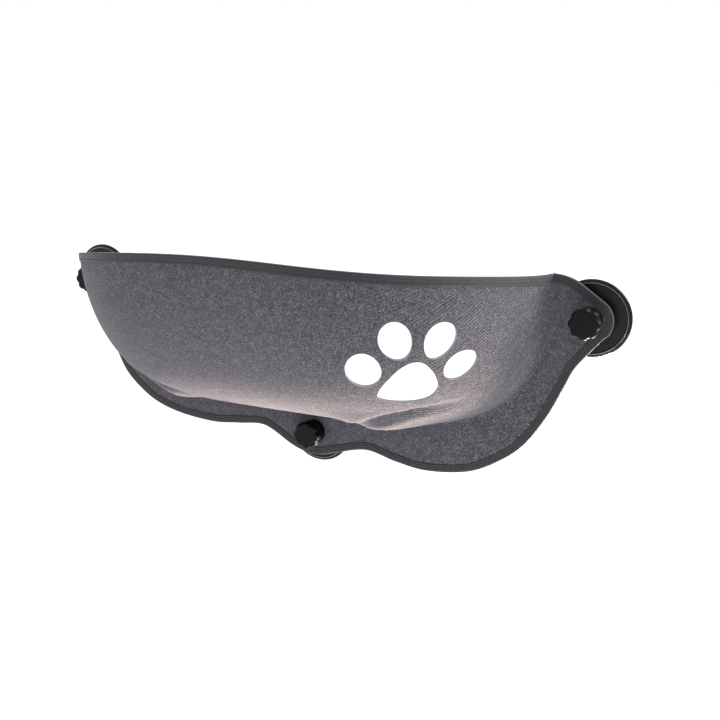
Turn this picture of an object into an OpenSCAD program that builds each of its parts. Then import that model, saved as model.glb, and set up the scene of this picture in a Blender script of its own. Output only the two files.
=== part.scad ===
// Window mounted cat perch: one stiff felt sheet, bent into a boat-shaped pod
// and held on the glass by three suction cups with screw knobs.
// Millimetres. +X runs along the window, +Z is up and the glass is the plane y = 0.
// The origin is midway between the two upper studs, on the glass.

/* [Mounting points] */
// Distance of each upper stud outside the pod's end
tab_out = 35; // [33:0.5:45]
// Distance of the lower stud under the fold line's lowest point
stud_under = 29.5; // [28:0.5:40]

/* [Felt sheet] */
// Thickness of the felt
felt_t = 3; // [2.5:0.25:5]
// Gap between the glass and the back of the felt
felt_gap = 12.5; // [11:0.5:15]

/* [Pod] */
// Length of the pod along the window, crease to crease at the rim
pod_l = 524; // [440:1:600]
// Depth of the pod from the felt on the window to the middle of the rim
pod_d = 211; // [160:1:240]
// Height of the rim's right end above the upper studs
rim_end_h = 41.5; // [36:0.5:50]
// Extra height of the middle of the rim
rim_crown = 27; // [0:1:40]
// How far the rim's left end dips below its right end
left_dip = 13; // [0:0.5:16]
// How far the rim sags between its middle and its right end
right_sag = 2.1; // [0:0.1:5]
// Drop of the fold line's lowest point below the upper studs
crease_drop = 122.5; // [105:0.5:135]
// Reach of the soft valley where the pod leaves the window plane
valley_r = 14; // [8:1:20]
// Reach of the bend along the fold line
fold_r = 8; // [6:1:12]
// How far the buckled rolls under the pod stand out
roll_h = 7; // [0:0.5:10]

/* [Skirt] */
// Radius of the round tab ends about the upper studs
tab_r = 22; // [22:0.5:26]
// Reach of the left wing below the fold line's lowest point
left_wing_under = 37.5; // [34:0.5:62]
// Reach of the right wing below the fold line's lowest point
right_wing_under = 53.5; // [34:0.5:62]
// Reach of the hollow between the left wing and the middle lobe
left_notch_under = 31.5; // [28:0.5:45]
// Reach of the hollow between the right wing and the middle lobe
right_notch_under = 41.5; // [28:0.5:45]
// Reach of the middle lobe below the lower stud
lobe_reach = 27; // [24:1:34]

/* [Edge tape] */
// Width of the tape that shows on each face of the felt
tape_w = 7.6; // [6:0.1:8]
// Thickness of the tape
tape_t = 0.8; // [0.6:0.1:1.5]

/* [Paw cut-outs] */
// Mean length of a toe hole
toe_l = 39; // [28:1:42]
// Mean width of a toe hole
toe_w = 31; // [22:1:32]
// Height of the main pad hole
pad_l = 54.8; // [40:0.2:56]
// Width of the main pad hole
pad_w = 57.4; // [44:0.2:60]

/* [Suction cup] */
// Outer diameter of the rubber suction pad
cup_d = 76; // [66:1:84]
// Thickness of the rounded bead round the pad
bead_t = 5; // [4:0.5:6]
// Width of the flat ring that seals on the glass
seal_w = 3; // [2:0.5:5]
// Depth of the hollow under the pad
hollow_h = 2; // [1:0.25:2.25]
// Thickness of the hard shell that backs the pad
shell_t = 1.6; // [1.2:0.1:2]
// Diameter of the shell's middle boss
boss_d = 24; // [18:0.5:30]

/* [Stud and knob] */
// Diameter of the stud
stud_d = 8; // [5:0.5:8]
// Diameter of the stud's head inside the pad
head_d = 18; // [14:0.5:20]
// Thickness of the stud's head
head_t = 1.5; // [1:0.1:1.8]
// Room between the collar under a knob and the tape round the tab
collar_room = 1.2; // [0.8:0.1:3]
// Thickness of the collar
collar_t = 10; // [2:0.25:12]
// Diameter of the knob over its lobes
knob_d = 30.5; // [29:0.5:36]
// Thickness of the knob
knob_t = 12; // [10:0.5:16]
// Number of lobes round the knob
knob_lobes = 8; // [6:1:10]
// Across-corners size of the knob's nut
nut_d = 15; // [12:0.5:17]
// Thickness of the knob's nut
nut_t = 6.5; // [5:0.25:8]

/* [Hidden] */

$fn = 96;

// Radial clearance of the stud in the holes that turn or slide on it
run_clear = 0.08;
// Gap between the tape and the felt that it wraps
tape_gap = 0.1;
// How far a cutter runs past the surface that it cuts
over = 1;

// Places worked out from the sizes above
half_pod = pod_l / 2;
half_span = half_pod + tab_out;
stud_rise = crease_drop + stud_under;
sheet_y = -(felt_gap + felt_t / 2);
felt_front = felt_gap + felt_t;
cup_r = cup_d / 2;
collar_r = tab_r - tape_w - collar_room;
stud_r = stud_d / 2;
hole_r = stud_r + run_clear;
lobe_drop = stud_rise + lobe_reach;
left_place = [-half_span, 0, 0];
right_place = [half_span, 0, 0];
lower_place = [0, 0, -stud_rise];

// Powers that bend the pod's curves: rim in plan, fold line and belly
plan_pow = 3.7;
fold_pow = 4.55;
fold_flat = 0.44;
belly_pow = 1.82;
// Largest share of the wall that the rim's band or the fold's bend may take
bend_limit = 0.5;

// Mesh counts: columns each side of the middle, and rows up the wall
side_cols = 36;
skirt_rows = 3;
fold_rows = 3;
wall_rows = 9;
table_n = 90;

// Pod depth at a share a of the half length
valley_max = sqrt(pow(pod_d + valley_r, 2) - pow(valley_r, 2));
function pod_depth(a) =
  sqrt(pow(valley_max * (1 - pow(a, plan_pow)), 2) + pow(valley_r, 2)) - valley_r;
// Rim and fold line at the signed share q; the fold line rises to meet the rim's ends
dip_pow = 5;
sag_pow = 19;
sag_peak = sag_pow / (sag_pow + 1);
function sag_share(a) = pow(a / sag_peak, sag_pow) * (1 - a) / (1 - sag_peak);
function end_z(q) = rim_end_h - (q < 0 ? left_dip : 0);
function rim_z(q) =
  let (a = abs(q))
  rim_end_h + rim_crown * (1 - a * a)
    - (q < 0 ? left_dip * pow(a, dip_pow) : right_sag * sag_share(a));
function fold_z(q) =
  end_z(q) - (end_z(q) + crease_drop) * pow(max(0, 1 - pow(abs(q), fold_pow)), fold_flat);

// Buckled rolls: [middle, half length, angle up the belly, half angle], the
// first two as shares of the half length
roll_shares = [[0.42, 0.22, 22, 15], [-0.80, 0.16, 32, 14]];
function bump(v) = abs(v) >= 1 ? 0 : pow(cos(90 * v), 2);
function roll_out(q, angle) = roll_h * (
  bump((q - roll_shares[0][0]) / roll_shares[0][1])
  * bump((angle - roll_shares[0][2]) / roll_shares[0][3])
  + bump((q - roll_shares[1][0]) / roll_shares[1][1])
  * bump((angle - roll_shares[1][2]) / roll_shares[1][3]));

// A point on the middle of the wall: q is the signed share of the half length,
// angle runs from 0 at the fold line to 90 at the rim
function wall_point(q, angle) =
  let (
    a = abs(q),
    out = pow(sin(angle), 2 / belly_pow),
    low = pow(max(0, cos(angle)), 2 / belly_pow),
    roll = roll_out(q, angle))
  [q * half_pod,
   sheet_y - pod_depth(a) * out - roll * sin(angle),
   rim_z(q) - (rim_z(q) - fold_z(q)) * low - roll * cos(angle)];

// Angle on the wall that lies a given drop below the rim
function drop_angle(q, drop) =
  let (h = rim_z(q) - fold_z(q))
  acos(pow(min(bend_limit, drop / max(h, tape_t)), belly_pow / 2));
// Angle on the wall at height z
function height_angle(q, z) =
  let (top = rim_z(q), h = top - fold_z(q))
  acos(pow((top - z) / h, belly_pow / 2));

// Lists: running length of a path, and shares of that length
function running(p, i = 0, sum = 0) =
  i == len(p) - 1 ? [sum] : concat([sum], running(p, i + 1, sum + norm(p[i + 1] - p[i])));
function shares_of(list) = [for (v = list) v / list[len(list) - 1]];
function unit(v) = v / norm(v);

// Fold line from the middle to its upper end, as [share of length, share of half length]
fold_steps = [for (k = [0:table_n]) 1 - pow(1 - k / table_n, 3)];
fold_path = [for (a = fold_steps) [a * half_pod, fold_z(a)]];
fold_shares = shares_of(running(fold_path));
fold_table = [for (k = [0:table_n]) [fold_shares[k], fold_steps[k]]];

// Outline of one side of the skirt, from the middle lobe up to the tab's top
// corner. Flank points are shares of the stud's distance and of the wing's drop.
left_flank_shares = [
  [0.333, 0.975], [0.455, 0.996], [0.610, 0.970], [0.724, 0.912],
  [0.806, 0.822], [0.877, 0.697], [0.926, 0.520], [0.963, 0.340]];
right_flank_shares = [
  [0.333, 0.975], [0.455, 1], [0.610, 0.962], [0.724, 0.862],
  [0.806, 0.742], [0.877, 0.562], [0.926, 0.390], [0.963, 0.262]];
lobe_shares = [[0, 1], [0.09, 0.965]];
notch_share = 0.215;
corner_shares = [[0.957, 0.86]];
tab_turns = [-58:24:62];
function side_points(flank, wing, notch, end_h) = concat(
  [for (s = lobe_shares) [s[0] * half_span, -s[1] * lobe_drop]],
  [[notch_share * half_span, -crease_drop - notch]],
  [for (s = flank) [s[0] * half_span, -s[1] * (crease_drop + wing)]],
  [for (a = tab_turns) [half_span + tab_r * cos(a), tab_r * sin(a)]],
  [for (s = corner_shares) [s[0] * half_span, s[1] * end_h]]);

// Smooth curve through the points p, with n steps from each to the next
function curve_at(a, b, c, d, t) =
  0.5 * (2 * b + (c - a) * t + (2 * a - 5 * b + 4 * c - d) * t * t
    + (3 * b - a - 3 * c + d) * t * t * t);
function mirrored(p) = [-p[0], p[1]];
function curve_through(p, n) =
  let (last = len(p) - 1)
  concat(
    [for (k = [0:last - 1]) for (s = [0:n - 1])
      curve_at(k == 0 ? mirrored(p[1]) : p[k - 1], p[k], p[k + 1],
        p[min(k + 2, last)], s / n)],
    [p[last]]);
function side_table(points) =
  let (path = curve_through(points, 6), s = shares_of(running(path)))
  [[for (k = [0:len(path) - 1]) [s[k], path[k][0]]],
   [for (k = [0:len(path) - 1]) [s[k], path[k][1]]]];
left_table = side_table(
  side_points(left_flank_shares, left_wing_under, left_notch_under, end_z(-1)));
right_table = side_table(
  side_points(right_flank_shares, right_wing_under, right_notch_under, end_z(1)));

// Column i of the sheet runs from the skirt's edge, over the fold line, up to the
// rim. Columns crowd a little towards the ends, where the curves are tight.
end_crowd = 1.25;
function col_share(i) =
  let (t = (i - side_cols) / side_cols)
  (t < 0 ? -1 : 1) * (1 - pow(1 - abs(t), end_crowd));
function col_q(i) =
  let (s = col_share(i)) (s < 0 ? -1 : 1) * lookup(abs(s), fold_table);
function edge_point(i) =
  let (s = col_share(i), t = s < 0 ? left_table : right_table)
  [(s < 0 ? -1 : 1) * lookup(abs(s), t[0]), sheet_y, lookup(abs(s), t[1])];
function column(i) =
  let (
    q = col_q(i),
    k = [q * half_pod, sheet_y, fold_z(q)],
    e = edge_point(i),
    wall_h = rim_z(q) - k[2],
    start = asin(pow(min(bend_limit, fold_r / max(pod_depth(abs(q)), fold_r)), belly_pow / 2))
      * (wall_h > 0 ? 1 : 0),
    a = k + unit(e - k) * fold_r,
    b = wall_h > 0 ? wall_point(q, start) : k,
    top = drop_angle(q, tape_w))
  concat(
    [for (j = [0:skirt_rows - 1]) e + (a - e) * j / skirt_rows],
    [for (j = [0:fold_rows]) let (t = j / fold_rows)
      a * pow(1 - t, 2) + k * 2 * t * (1 - t) + b * t * t],
    [for (j = [1:wall_rows - 1]) wall_point(q, start + (top - start) * j / (wall_rows - 1))],
    [wall_point(q, 90)]);
cols = 2 * side_cols;
rows = skirt_rows + fold_rows + wall_rows;
fold_row = skirt_rows + fold_rows;
sheet = [for (i = [0:cols]) column(i)];

// Unit normal of the sheet at a grid point, towards its glass and inner side. The
// end columns lie flat in the skirt's plane.
function step_u(i, j) = sheet[min(i + 1, cols)][j] - sheet[max(i - 1, 0)][j];
function step_v(i, j) =
  let (end = i == 0 || i == cols, top = end ? fold_row : rows)
  sheet[i][min(j + 1, top)] - sheet[i][max(min(j, top) - 1, 0)];
function normal_at(i, j) =
  i == 0 || i == cols ? [0, 1, 0] : unit(cross(step_v(i, j), step_u(i, j)));
normals = [for (i = [0:cols]) [for (j = [0:rows]) normal_at(i, j)]];

// Faces of a closed sheet: two skins of the grid and a wall round their edge.
// The two end columns close to a point above the fold line.
function top_row(i) = i == 0 || i == cols ? fold_row : rows;
function at(skin, i, j) = skin * (cols + 1) * (rows + 1) + i * (rows + 1) + min(j, top_row(i));
function cell(skin, i, j) =
  let (
    a = at(skin, i, j), b = at(skin, i + 1, j),
    c = at(skin, i + 1, j + 1), d = at(skin, i, j + 1))
  a == d ? [[a, b, c]] : b == c ? [[a, b, d]] : [[a, b, c], [a, c, d]];
function flipped(f) = [f[2], f[1], f[0]];
function band(a, b, c, d) = [[a, b, c], [a, c, d]];
sheet_faces = concat(
  [for (i = [0:cols - 1]) for (j = [0:rows - 1]) each cell(0, i, j)],
  [for (i = [0:cols - 1]) for (j = [0:rows - 1]) for (f = cell(1, i, j)) flipped(f)],
  [for (i = [0:cols - 1])
    each band(at(0, i, 0), at(1, i, 0), at(1, i + 1, 0), at(0, i + 1, 0))],
  [for (i = [0:cols - 1])
    each band(at(1, i, rows), at(0, i, rows), at(0, i + 1, rows), at(1, i + 1, rows))],
  [for (j = [0:fold_row - 1])
    each band(at(1, 0, j), at(0, 0, j), at(0, 0, j + 1), at(1, 0, j + 1))],
  [for (j = [0:fold_row - 1])
    each band(at(0, cols, j), at(1, cols, j), at(1, cols, j + 1), at(0, cols, j + 1))]);
function skin_points(off) =
  [for (i = [0:cols]) for (j = [0:rows]) sheet[i][j] + normals[i][j] * off];

module felt_body() {
  polyhedron(
    points = concat(skin_points(felt_t / 2), skin_points(-felt_t / 2)),
    faces = sheet_faces);
}

// Paw print, right of the middle: place as a share of the half pod length and of
// the upper studs' height above the fold line, tilt from upright, share of the
// mean length and width, and how much wider the upper end is
toe_shares = [
  [0.520, -0.249, -7.5, 1.132, 1.042, -0.03], [0.634, -0.013, -26.5, 1.077, 0.941, 0.066],
  [0.742, -0.036, 14.5, 0.940, 1.062, 0.13], [0.780, -0.252, 69, 0.930, 0.985, -0.07]];
pad_share = [0.639, -0.382];
pad_tilt = 1;
hole_depth = 8 * felt_t;
nudge_share = 0.003;
nudge_turn = 0.8;
function hole_spot(share) = wall_point(share[0], height_angle(share[0], share[1] * crease_drop));
function hole_axis(share) =
  let (
    t = height_angle(share[0], share[1] * crease_drop),
    u = wall_point(share[0] + nudge_share, t) - wall_point(share[0] - nudge_share, t),
    v = wall_point(share[0], t + nudge_turn) - wall_point(share[0], t - nudge_turn))
  unit(cross(v, u));
module on_wall(share, tilt) {
  n = hole_axis(share);
  side = unit(cross([0, 0, 1], n));
  right = side[0] < 0 ? -side : side;
  up = unit(cross(n, right)) * (cross(n, right)[2] < 0 ? -1 : 1);
  p = hole_spot(share);
  flip = cross(right, up) * n < 0 ? -1 : 1;
  multmatrix([
    [right[0], up[0], flip * n[0], p[0]],
    [right[1], up[1], flip * n[1], p[1]],
    [right[2], up[2], flip * n[2], p[2]],
    [0, 0, 0, 1]])
  rotate(-tilt)
  translate([0, 0, -hole_depth / 2])
  linear_extrude(hole_depth) children();
}
// Egg-shaped toe
module toe(size) {
  polygon([for (a = [0:12:348])
    [size[4] * toe_w / 2 * cos(a) * (1 + size[5] * sin(a)), size[3] * toe_l / 2 * sin(a)]]);
}
// Main pad: a rounded triangle with two low lobes, as shares of its width and height
pad_shares = [
  [0, 0.5], [0.16, 0.45], [0.325, 0.27], [0.42, 0.1], [0.5, -0.15], [0.415, -0.37],
  [0.21, -0.47], [-0.105, -0.5], [-0.36, -0.46], [-0.465, -0.35], [-0.45, -0.075],
  [-0.31, 0.26], [-0.16, 0.44]];
pad_steps = 3;
module main_pad() {
  n = len(pad_shares);
  p = [for (s = pad_shares) [s[0] * pad_w, s[1] * pad_l]];
  polygon([for (k = [0:n - 1]) for (t = [0:pad_steps - 1])
    curve_at(p[(k + n - 1) % n], p[k], p[(k + 1) % n], p[(k + 2) % n], t / pad_steps)]);
}

module felt_cradle() {
  color("#5f5f66")
  difference() {
    felt_body();
    for (s = toe_shares) on_wall(s, s[2]) toe(s);
    on_wall(pad_share, pad_tilt) main_pad();
    for (p = [left_place, right_place, lower_place])
      translate([p[0], -felt_gap + over, p[2]])
      rotate([90, 0, 0]) cylinder(h = felt_t + 2 * over, r = hole_r);
  }
}

// Edge tape: stations run along the rim from left to right, then back along the
// skirt. Each has the edge, the way in along the sheet and the sheet's normal.
function rim_station(i) =
  let (
    e = sheet[i][rows], n = normals[i][rows],
    down = unit([n[0] * n[2], n[1] * n[2], n[2] * n[2] - 1]),
    wall_h = e[2] - fold_z(col_q(i)),
    mix = min(1, max(0, wall_h / tape_w / 2 - 1)),
    inner = (e + down * tape_w) * (1 - mix) + sheet[i][rows - 1] * mix)
  [e, inner, n, unit(n * (1 - mix) + normals[i][rows - 1] * mix)];
function outline_before(i) = i <= 0 ? sheet[0][fold_row] : sheet[i - 1][0];
function outline_after(i) = i >= cols ? sheet[cols][fold_row] : sheet[i + 1][0];
function skirt_station(i) =
  let (
    e = sheet[i][0],
    along = unit(outline_after(i) - outline_before(i)),
    inward = [-along[2], 0, along[0]])
  [e, e + inward * tape_w, [0, 1, 0], [0, 1, 0]];
stations = concat(
  [for (i = [0:cols]) rim_station(i)],
  [for (k = [0:cols]) skirt_station(cols - k)]);
function tape_ring(s) =
  let (
    e = s[0], m = s[1], n = s[2], nm = s[3],
    in_dir = unit(m - e),
    a = felt_t / 2 + tape_gap,
    b = a + tape_t)
  [m + nm * a, e - in_dir * tape_gap + n * a, e - in_dir * tape_gap - n * a, m - nm * a,
   m - nm * b, e - in_dir * (tape_gap + tape_t) - n * b,
   e - in_dir * (tape_gap + tape_t) + n * b, m + nm * b];
ring_n = 8;
station_n = len(stations);
function ring_at(k, j) = (k % station_n) * ring_n + (j % ring_n);
module edge_tape() {
  color("#3c3c3f")
  polyhedron(
    points = [for (s = stations) each tape_ring(s)],
    faces = [for (k = [0:station_n - 1]) for (j = [0:ring_n - 1])
      each band(ring_at(k, j), ring_at(k, j + 1), ring_at(k + 1, j + 1), ring_at(k + 1, j))]);
}

// Pieces of one mount are drawn about the stud's axis, with z as the distance
// from the glass, and turned to stand out of the window
module mount(place) {
  translate(place) rotate([90, 0, 0]) children();
}

// Heights from the glass
bead_r = bead_t / 2;
dish_r = cup_r - bead_t;
dish_z = bead_t - shell_t;
collar_z = felt_front;
knob_z = collar_z + collar_t;
knob_front = knob_z + knob_t;
stud_over = 1.5;
stud_end = knob_z + nut_t + stud_over;
// Lengths that finish the pieces
blind_gap = 0.5;
edge_r = 1;
dish_step = 0.5;
rib_w = 4;
// Shares that place the shell's step and the knob's scallops
step_share = 0.88;
scallop_share = 0.17;
scallop_bite_share = 0.69;
face_share = 0.62;

// Rubber pad: a ring that seals on the glass, a shallow hollow inside it, and a
// round bead at the rim
module suction_pad() {
  color("#18191b")
  rotate_extrude() {
    polygon([
      [0, hollow_h], [cup_r - bead_r - seal_w, 0], [cup_r - bead_r, 0],
      [cup_r - bead_r, dish_z], [0, dish_z]]);
    translate([cup_r - bead_r, bead_r]) circle(r = bead_r);
  }
}

// Hard shell that spreads the pull over the pad: rim, step, dish and boss, with a
// pocket behind the boss for the stud's head
module pad_shell() {
  boss_r = boss_d / 2;
  step_r = dish_r * step_share;
  face_z = bead_t - dish_step;
  color("#232427")
  rotate_extrude()
  polygon([
    [stud_r, dish_z + head_t], [head_d / 2, dish_z + head_t], [head_d / 2, dish_z],
    [dish_r, dish_z], [dish_r, bead_t - dish_step], [dish_r - dish_step, bead_t],
    [step_r, bead_t], [step_r - dish_step, face_z],
    [boss_r + rib_w, face_z], [boss_r, face_z + rib_w],
    [boss_r, felt_gap], [stud_r, felt_gap]]);
}

// Stud with a flat head, held between the pad and the shell
module stud() {
  color("silver")
  rotate_extrude()
  polygon([
    [0, dish_z], [head_d / 2, dish_z], [head_d / 2, dish_z + head_t],
    [stud_r, dish_z + head_t], [stud_r, stud_end - edge_r],
    [stud_r - edge_r, stud_end], [0, stud_end]]);
}

// Round collar that the knob carries against the felt
module collar() {
  color("#1d1d20")
  rotate_extrude()
  polygon([
    [hole_r, collar_z], [collar_r, collar_z], [collar_r, knob_z - edge_r],
    [collar_r - edge_r, knob_z], [hole_r, knob_z]]);
}

// Knob with scalloped sides and a shallow dish in its closed front
module knob_outline() {
  r = knob_d / 2;
  bite_r = knob_d * scallop_share;
  difference() {
    circle(r = r);
    for (k = [0:knob_lobes - 1])
      rotate((k + 0.5) * 360 / knob_lobes)
      translate([r + bite_r * scallop_bite_share, 0]) circle(r = bite_r);
  }
}
module knob() {
  r = knob_d / 2;
  face_r = r * face_share;
  color("#1b1b1f")
  difference() {
    intersection() {
      translate([0, 0, knob_z]) linear_extrude(knob_t) knob_outline();
      rotate_extrude()
      polygon([
        [0, knob_z], [r - edge_r, knob_z], [r, knob_z + edge_r],
        [r, knob_front - 2 * edge_r], [r - 2 * edge_r, knob_front],
        [face_r + edge_r, knob_front], [face_r, knob_front - edge_r],
        [0, knob_front - edge_r]]);
    }
    translate([0, 0, knob_z - over]) cylinder(h = nut_t + over, r = nut_d / 2, $fn = 6);
    translate([0, 0, knob_z]) cylinder(h = stud_end + blind_gap - knob_z, r = hole_r);
  }
}

// Hexagon nut moulded into the back of the knob
module knob_nut() {
  color("#b99a5b")
  translate([0, 0, knob_z])
  difference() {
    cylinder(h = nut_t, r = nut_d / 2, $fn = 6);
    translate([0, 0, -over]) cylinder(h = nut_t + 2 * over, r = hole_r);
  }
}

felt_cradle();
edge_tape();
mount(left_place) suction_pad();  // left_suction_pad
mount(left_place) pad_shell();  // left_pad_shell
mount(left_place) stud();  // left_stud
mount(left_place) collar();  // left_collar
mount(left_place) knob();  // left_knob
mount(left_place) knob_nut();  // left_knob_nut
mount(right_place) suction_pad();  // right_suction_pad
mount(right_place) pad_shell();  // right_pad_shell
mount(right_place) stud();  // right_stud
mount(right_place) collar();  // right_collar
mount(right_place) knob();  // right_knob
mount(right_place) knob_nut();  // right_knob_nut
mount(lower_place) suction_pad();  // lower_suction_pad
mount(lower_place) pad_shell();  // lower_pad_shell
mount(lower_place) stud();  // lower_stud
mount(lower_place) collar();  // lower_collar
mount(lower_place) knob();  // lower_knob
mount(lower_place) knob_nut();  // lower_knob_nut
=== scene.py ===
"""Looks of a window mounted cat perch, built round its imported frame.

One stiff felt sheet is bent into a boat-shaped pod, bound with tape and held on
the glass by three suction cups with screw knobs. +X runs along the window, -Y
points into the room, +Z is up and the glass is the plane y = 0. Sizes are held
in millimetres and turned to metres when a mesh is made.
"""

from __future__ import annotations

import logging
import math
from dataclasses import dataclass
from enum import Enum
from typing import Any, Sequence

import bmesh
import bpy
import numpy as np
from mathutils import Matrix, Vector

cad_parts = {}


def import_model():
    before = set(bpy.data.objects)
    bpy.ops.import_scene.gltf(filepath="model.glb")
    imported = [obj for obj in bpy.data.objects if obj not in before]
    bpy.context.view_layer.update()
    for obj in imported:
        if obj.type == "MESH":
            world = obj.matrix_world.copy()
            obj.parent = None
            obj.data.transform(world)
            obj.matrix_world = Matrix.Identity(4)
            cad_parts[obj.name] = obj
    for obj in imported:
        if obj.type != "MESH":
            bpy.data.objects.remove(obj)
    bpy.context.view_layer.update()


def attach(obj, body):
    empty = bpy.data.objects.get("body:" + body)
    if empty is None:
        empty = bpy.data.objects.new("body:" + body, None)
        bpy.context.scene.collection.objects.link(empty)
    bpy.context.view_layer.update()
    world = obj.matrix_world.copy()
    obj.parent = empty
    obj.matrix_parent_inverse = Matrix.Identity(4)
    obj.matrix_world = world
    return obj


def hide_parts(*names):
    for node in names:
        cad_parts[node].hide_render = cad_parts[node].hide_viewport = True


LOG = logging.getLogger("perch")
MM = 0.001
TINY_MM = 1e-6
# How much of a side one rounding may take
REACH_SHARE = 0.49
# Where most of a noise pattern lies between its low and high
NOISE_SHARES = (0.3, 0.7)
# Points in millimetres and the faces between them
Surface = tuple[np.ndarray, list[list[int]]]
Pairs = tuple[tuple[float, float], ...]
Socket = bpy.types.NodeSocket
Material = bpy.types.Material
Object = bpy.types.Object


class Side(Enum):
    """The three places where the perch is held on the glass."""

    LEFT = "left"
    RIGHT = "right"
    LOWER = "lower"


class Shading(Enum):
    """How a mesh's faces are shaded."""

    SMOOTH = "smooth"
    BY_ANGLE = "by_angle"


def linear(hex_colour: str) -> tuple[float, float, float, float]:
    """Turn an sRGB hex colour into linear RGBA.

    Args:
        hex_colour: Colour as "#rrggbb".

    Returns:
        The linear colour, opaque.
    """
    parts = [int(hex_colour[k : k + 2], 16) / 255 for k in (1, 3, 5)]
    red, green, blue = (
        p / 12.92 if p <= 0.04045 else ((p + 0.055) / 1.055) ** 2.4 for p in parts
    )
    return red, green, blue, 1.0


def add_node(
    tree: bpy.types.NodeTree, kind: str, inputs: dict[Any, Any] | None = None, **settings: Any
) -> bpy.types.Node:
    """Add a node, with its settings, values and links.

    Args:
        tree: Node tree that gets the node.
        kind: Blender's name of the node type.
        inputs: Input name or number to a value, or to the socket that feeds it.
        settings: Properties of the node.

    Returns:
        The new node.
    """
    node = tree.nodes.new(kind)
    for name, value in settings.items():
        setattr(node, name, value)
    feed(tree, node, inputs or {})
    return node


def feed(tree: bpy.types.NodeTree, node: bpy.types.Node, inputs: dict[Any, Any]) -> None:
    """Set or link a node's inputs.

    Args:
        tree: The node's tree.
        node: The node.
        inputs: Input name or number to a value, or to the socket that feeds it.
    """
    for name, value in inputs.items():
        if isinstance(value, Socket):
            tree.links.new(value, node.inputs[name])
        else:
            node.inputs[name].default_value = value


def make_mesh_object(
    name: str,
    points_mm: np.ndarray,
    faces: Sequence[Sequence[int]],
    shading: Shading = Shading.SMOOTH,
    sharp_degrees: float = 35.0,
) -> Object:
    """Make an object at the origin from points in millimetres.

    Args:
        name: Name of the object.
        points_mm: One row of x, y, z per point.
        faces: Point numbers of each face.
        shading: How the faces are shaded.
        sharp_degrees: Angle past which an edge stays sharp.

    Returns:
        The new object, linked to the scene.
    """
    mesh = bpy.data.meshes.new(name)
    mesh.from_pydata((np.asarray(points_mm, float) * MM).tolist(), [], [list(f) for f in faces])
    mesh.validate()
    obj = bpy.data.objects.new(name, mesh)
    bpy.context.scene.collection.objects.link(obj)
    shade(obj, shading, sharp_degrees)
    return obj


def shade(obj: Object, shading: Shading, sharp_degrees: float = 35.0) -> None:
    """Shade a mesh smooth, with sharp edges where its faces meet steeply.

    Args:
        obj: Mesh object.
        shading: Smooth all over, or split by angle.
        sharp_degrees: Angle past which an edge stays sharp.
    """
    mesh = obj.data
    mesh.polygons.foreach_set("use_smooth", [True] * len(mesh.polygons))
    if shading is Shading.BY_ANGLE:
        mesh.set_sharp_from_angle(angle=math.radians(sharp_degrees))
    mesh.update()


def baked(obj: Object) -> None:
    """Turn an object's modifiers into a plain mesh and remove them.

    Args:
        obj: Object whose modifiers are live.
    """
    graph = bpy.context.evaluated_depsgraph_get()
    mesh = bpy.data.meshes.new_from_object(obj.evaluated_get(graph), depsgraph=graph)
    obj.modifiers.clear()
    obj.data = mesh


def face_outwards(obj: Object, merge_mm: float = 0.0) -> None:
    """Merge a mesh's double points and turn its faces outwards.

    Args:
        obj: Mesh object.
        merge_mm: Distance up to which points are merged; zero merges none.
    """
    edit = bmesh.new()
    edit.from_mesh(obj.data)
    if merge_mm > 0:
        bmesh.ops.remove_doubles(edit, verts=edit.verts, dist=merge_mm * MM)
    bmesh.ops.recalc_face_normals(edit, faces=edit.faces)
    edit.to_mesh(obj.data)
    edit.free()


def spline_point(guide: Sequence[np.ndarray], t: float) -> np.ndarray:
    """Return a point between the second and third of four guide points.

    Args:
        guide: Four points that follow each other.
        t: Share of the way.

    Returns:
        The point on the smooth curve through them.
    """
    a, b, c, d = guide
    return 0.5 * (2 * b + (c - a) * t + (2 * a - 5 * b + 4 * c - d) * t * t
                  + (3 * b - a - 3 * c + d) * t**3)


def hump(v: float) -> float:
    """Return a smooth hump that is one at zero and ends at one either side."""
    return 0.0 if abs(v) >= 1 else math.cos(math.pi / 2 * v) ** 2


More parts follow.
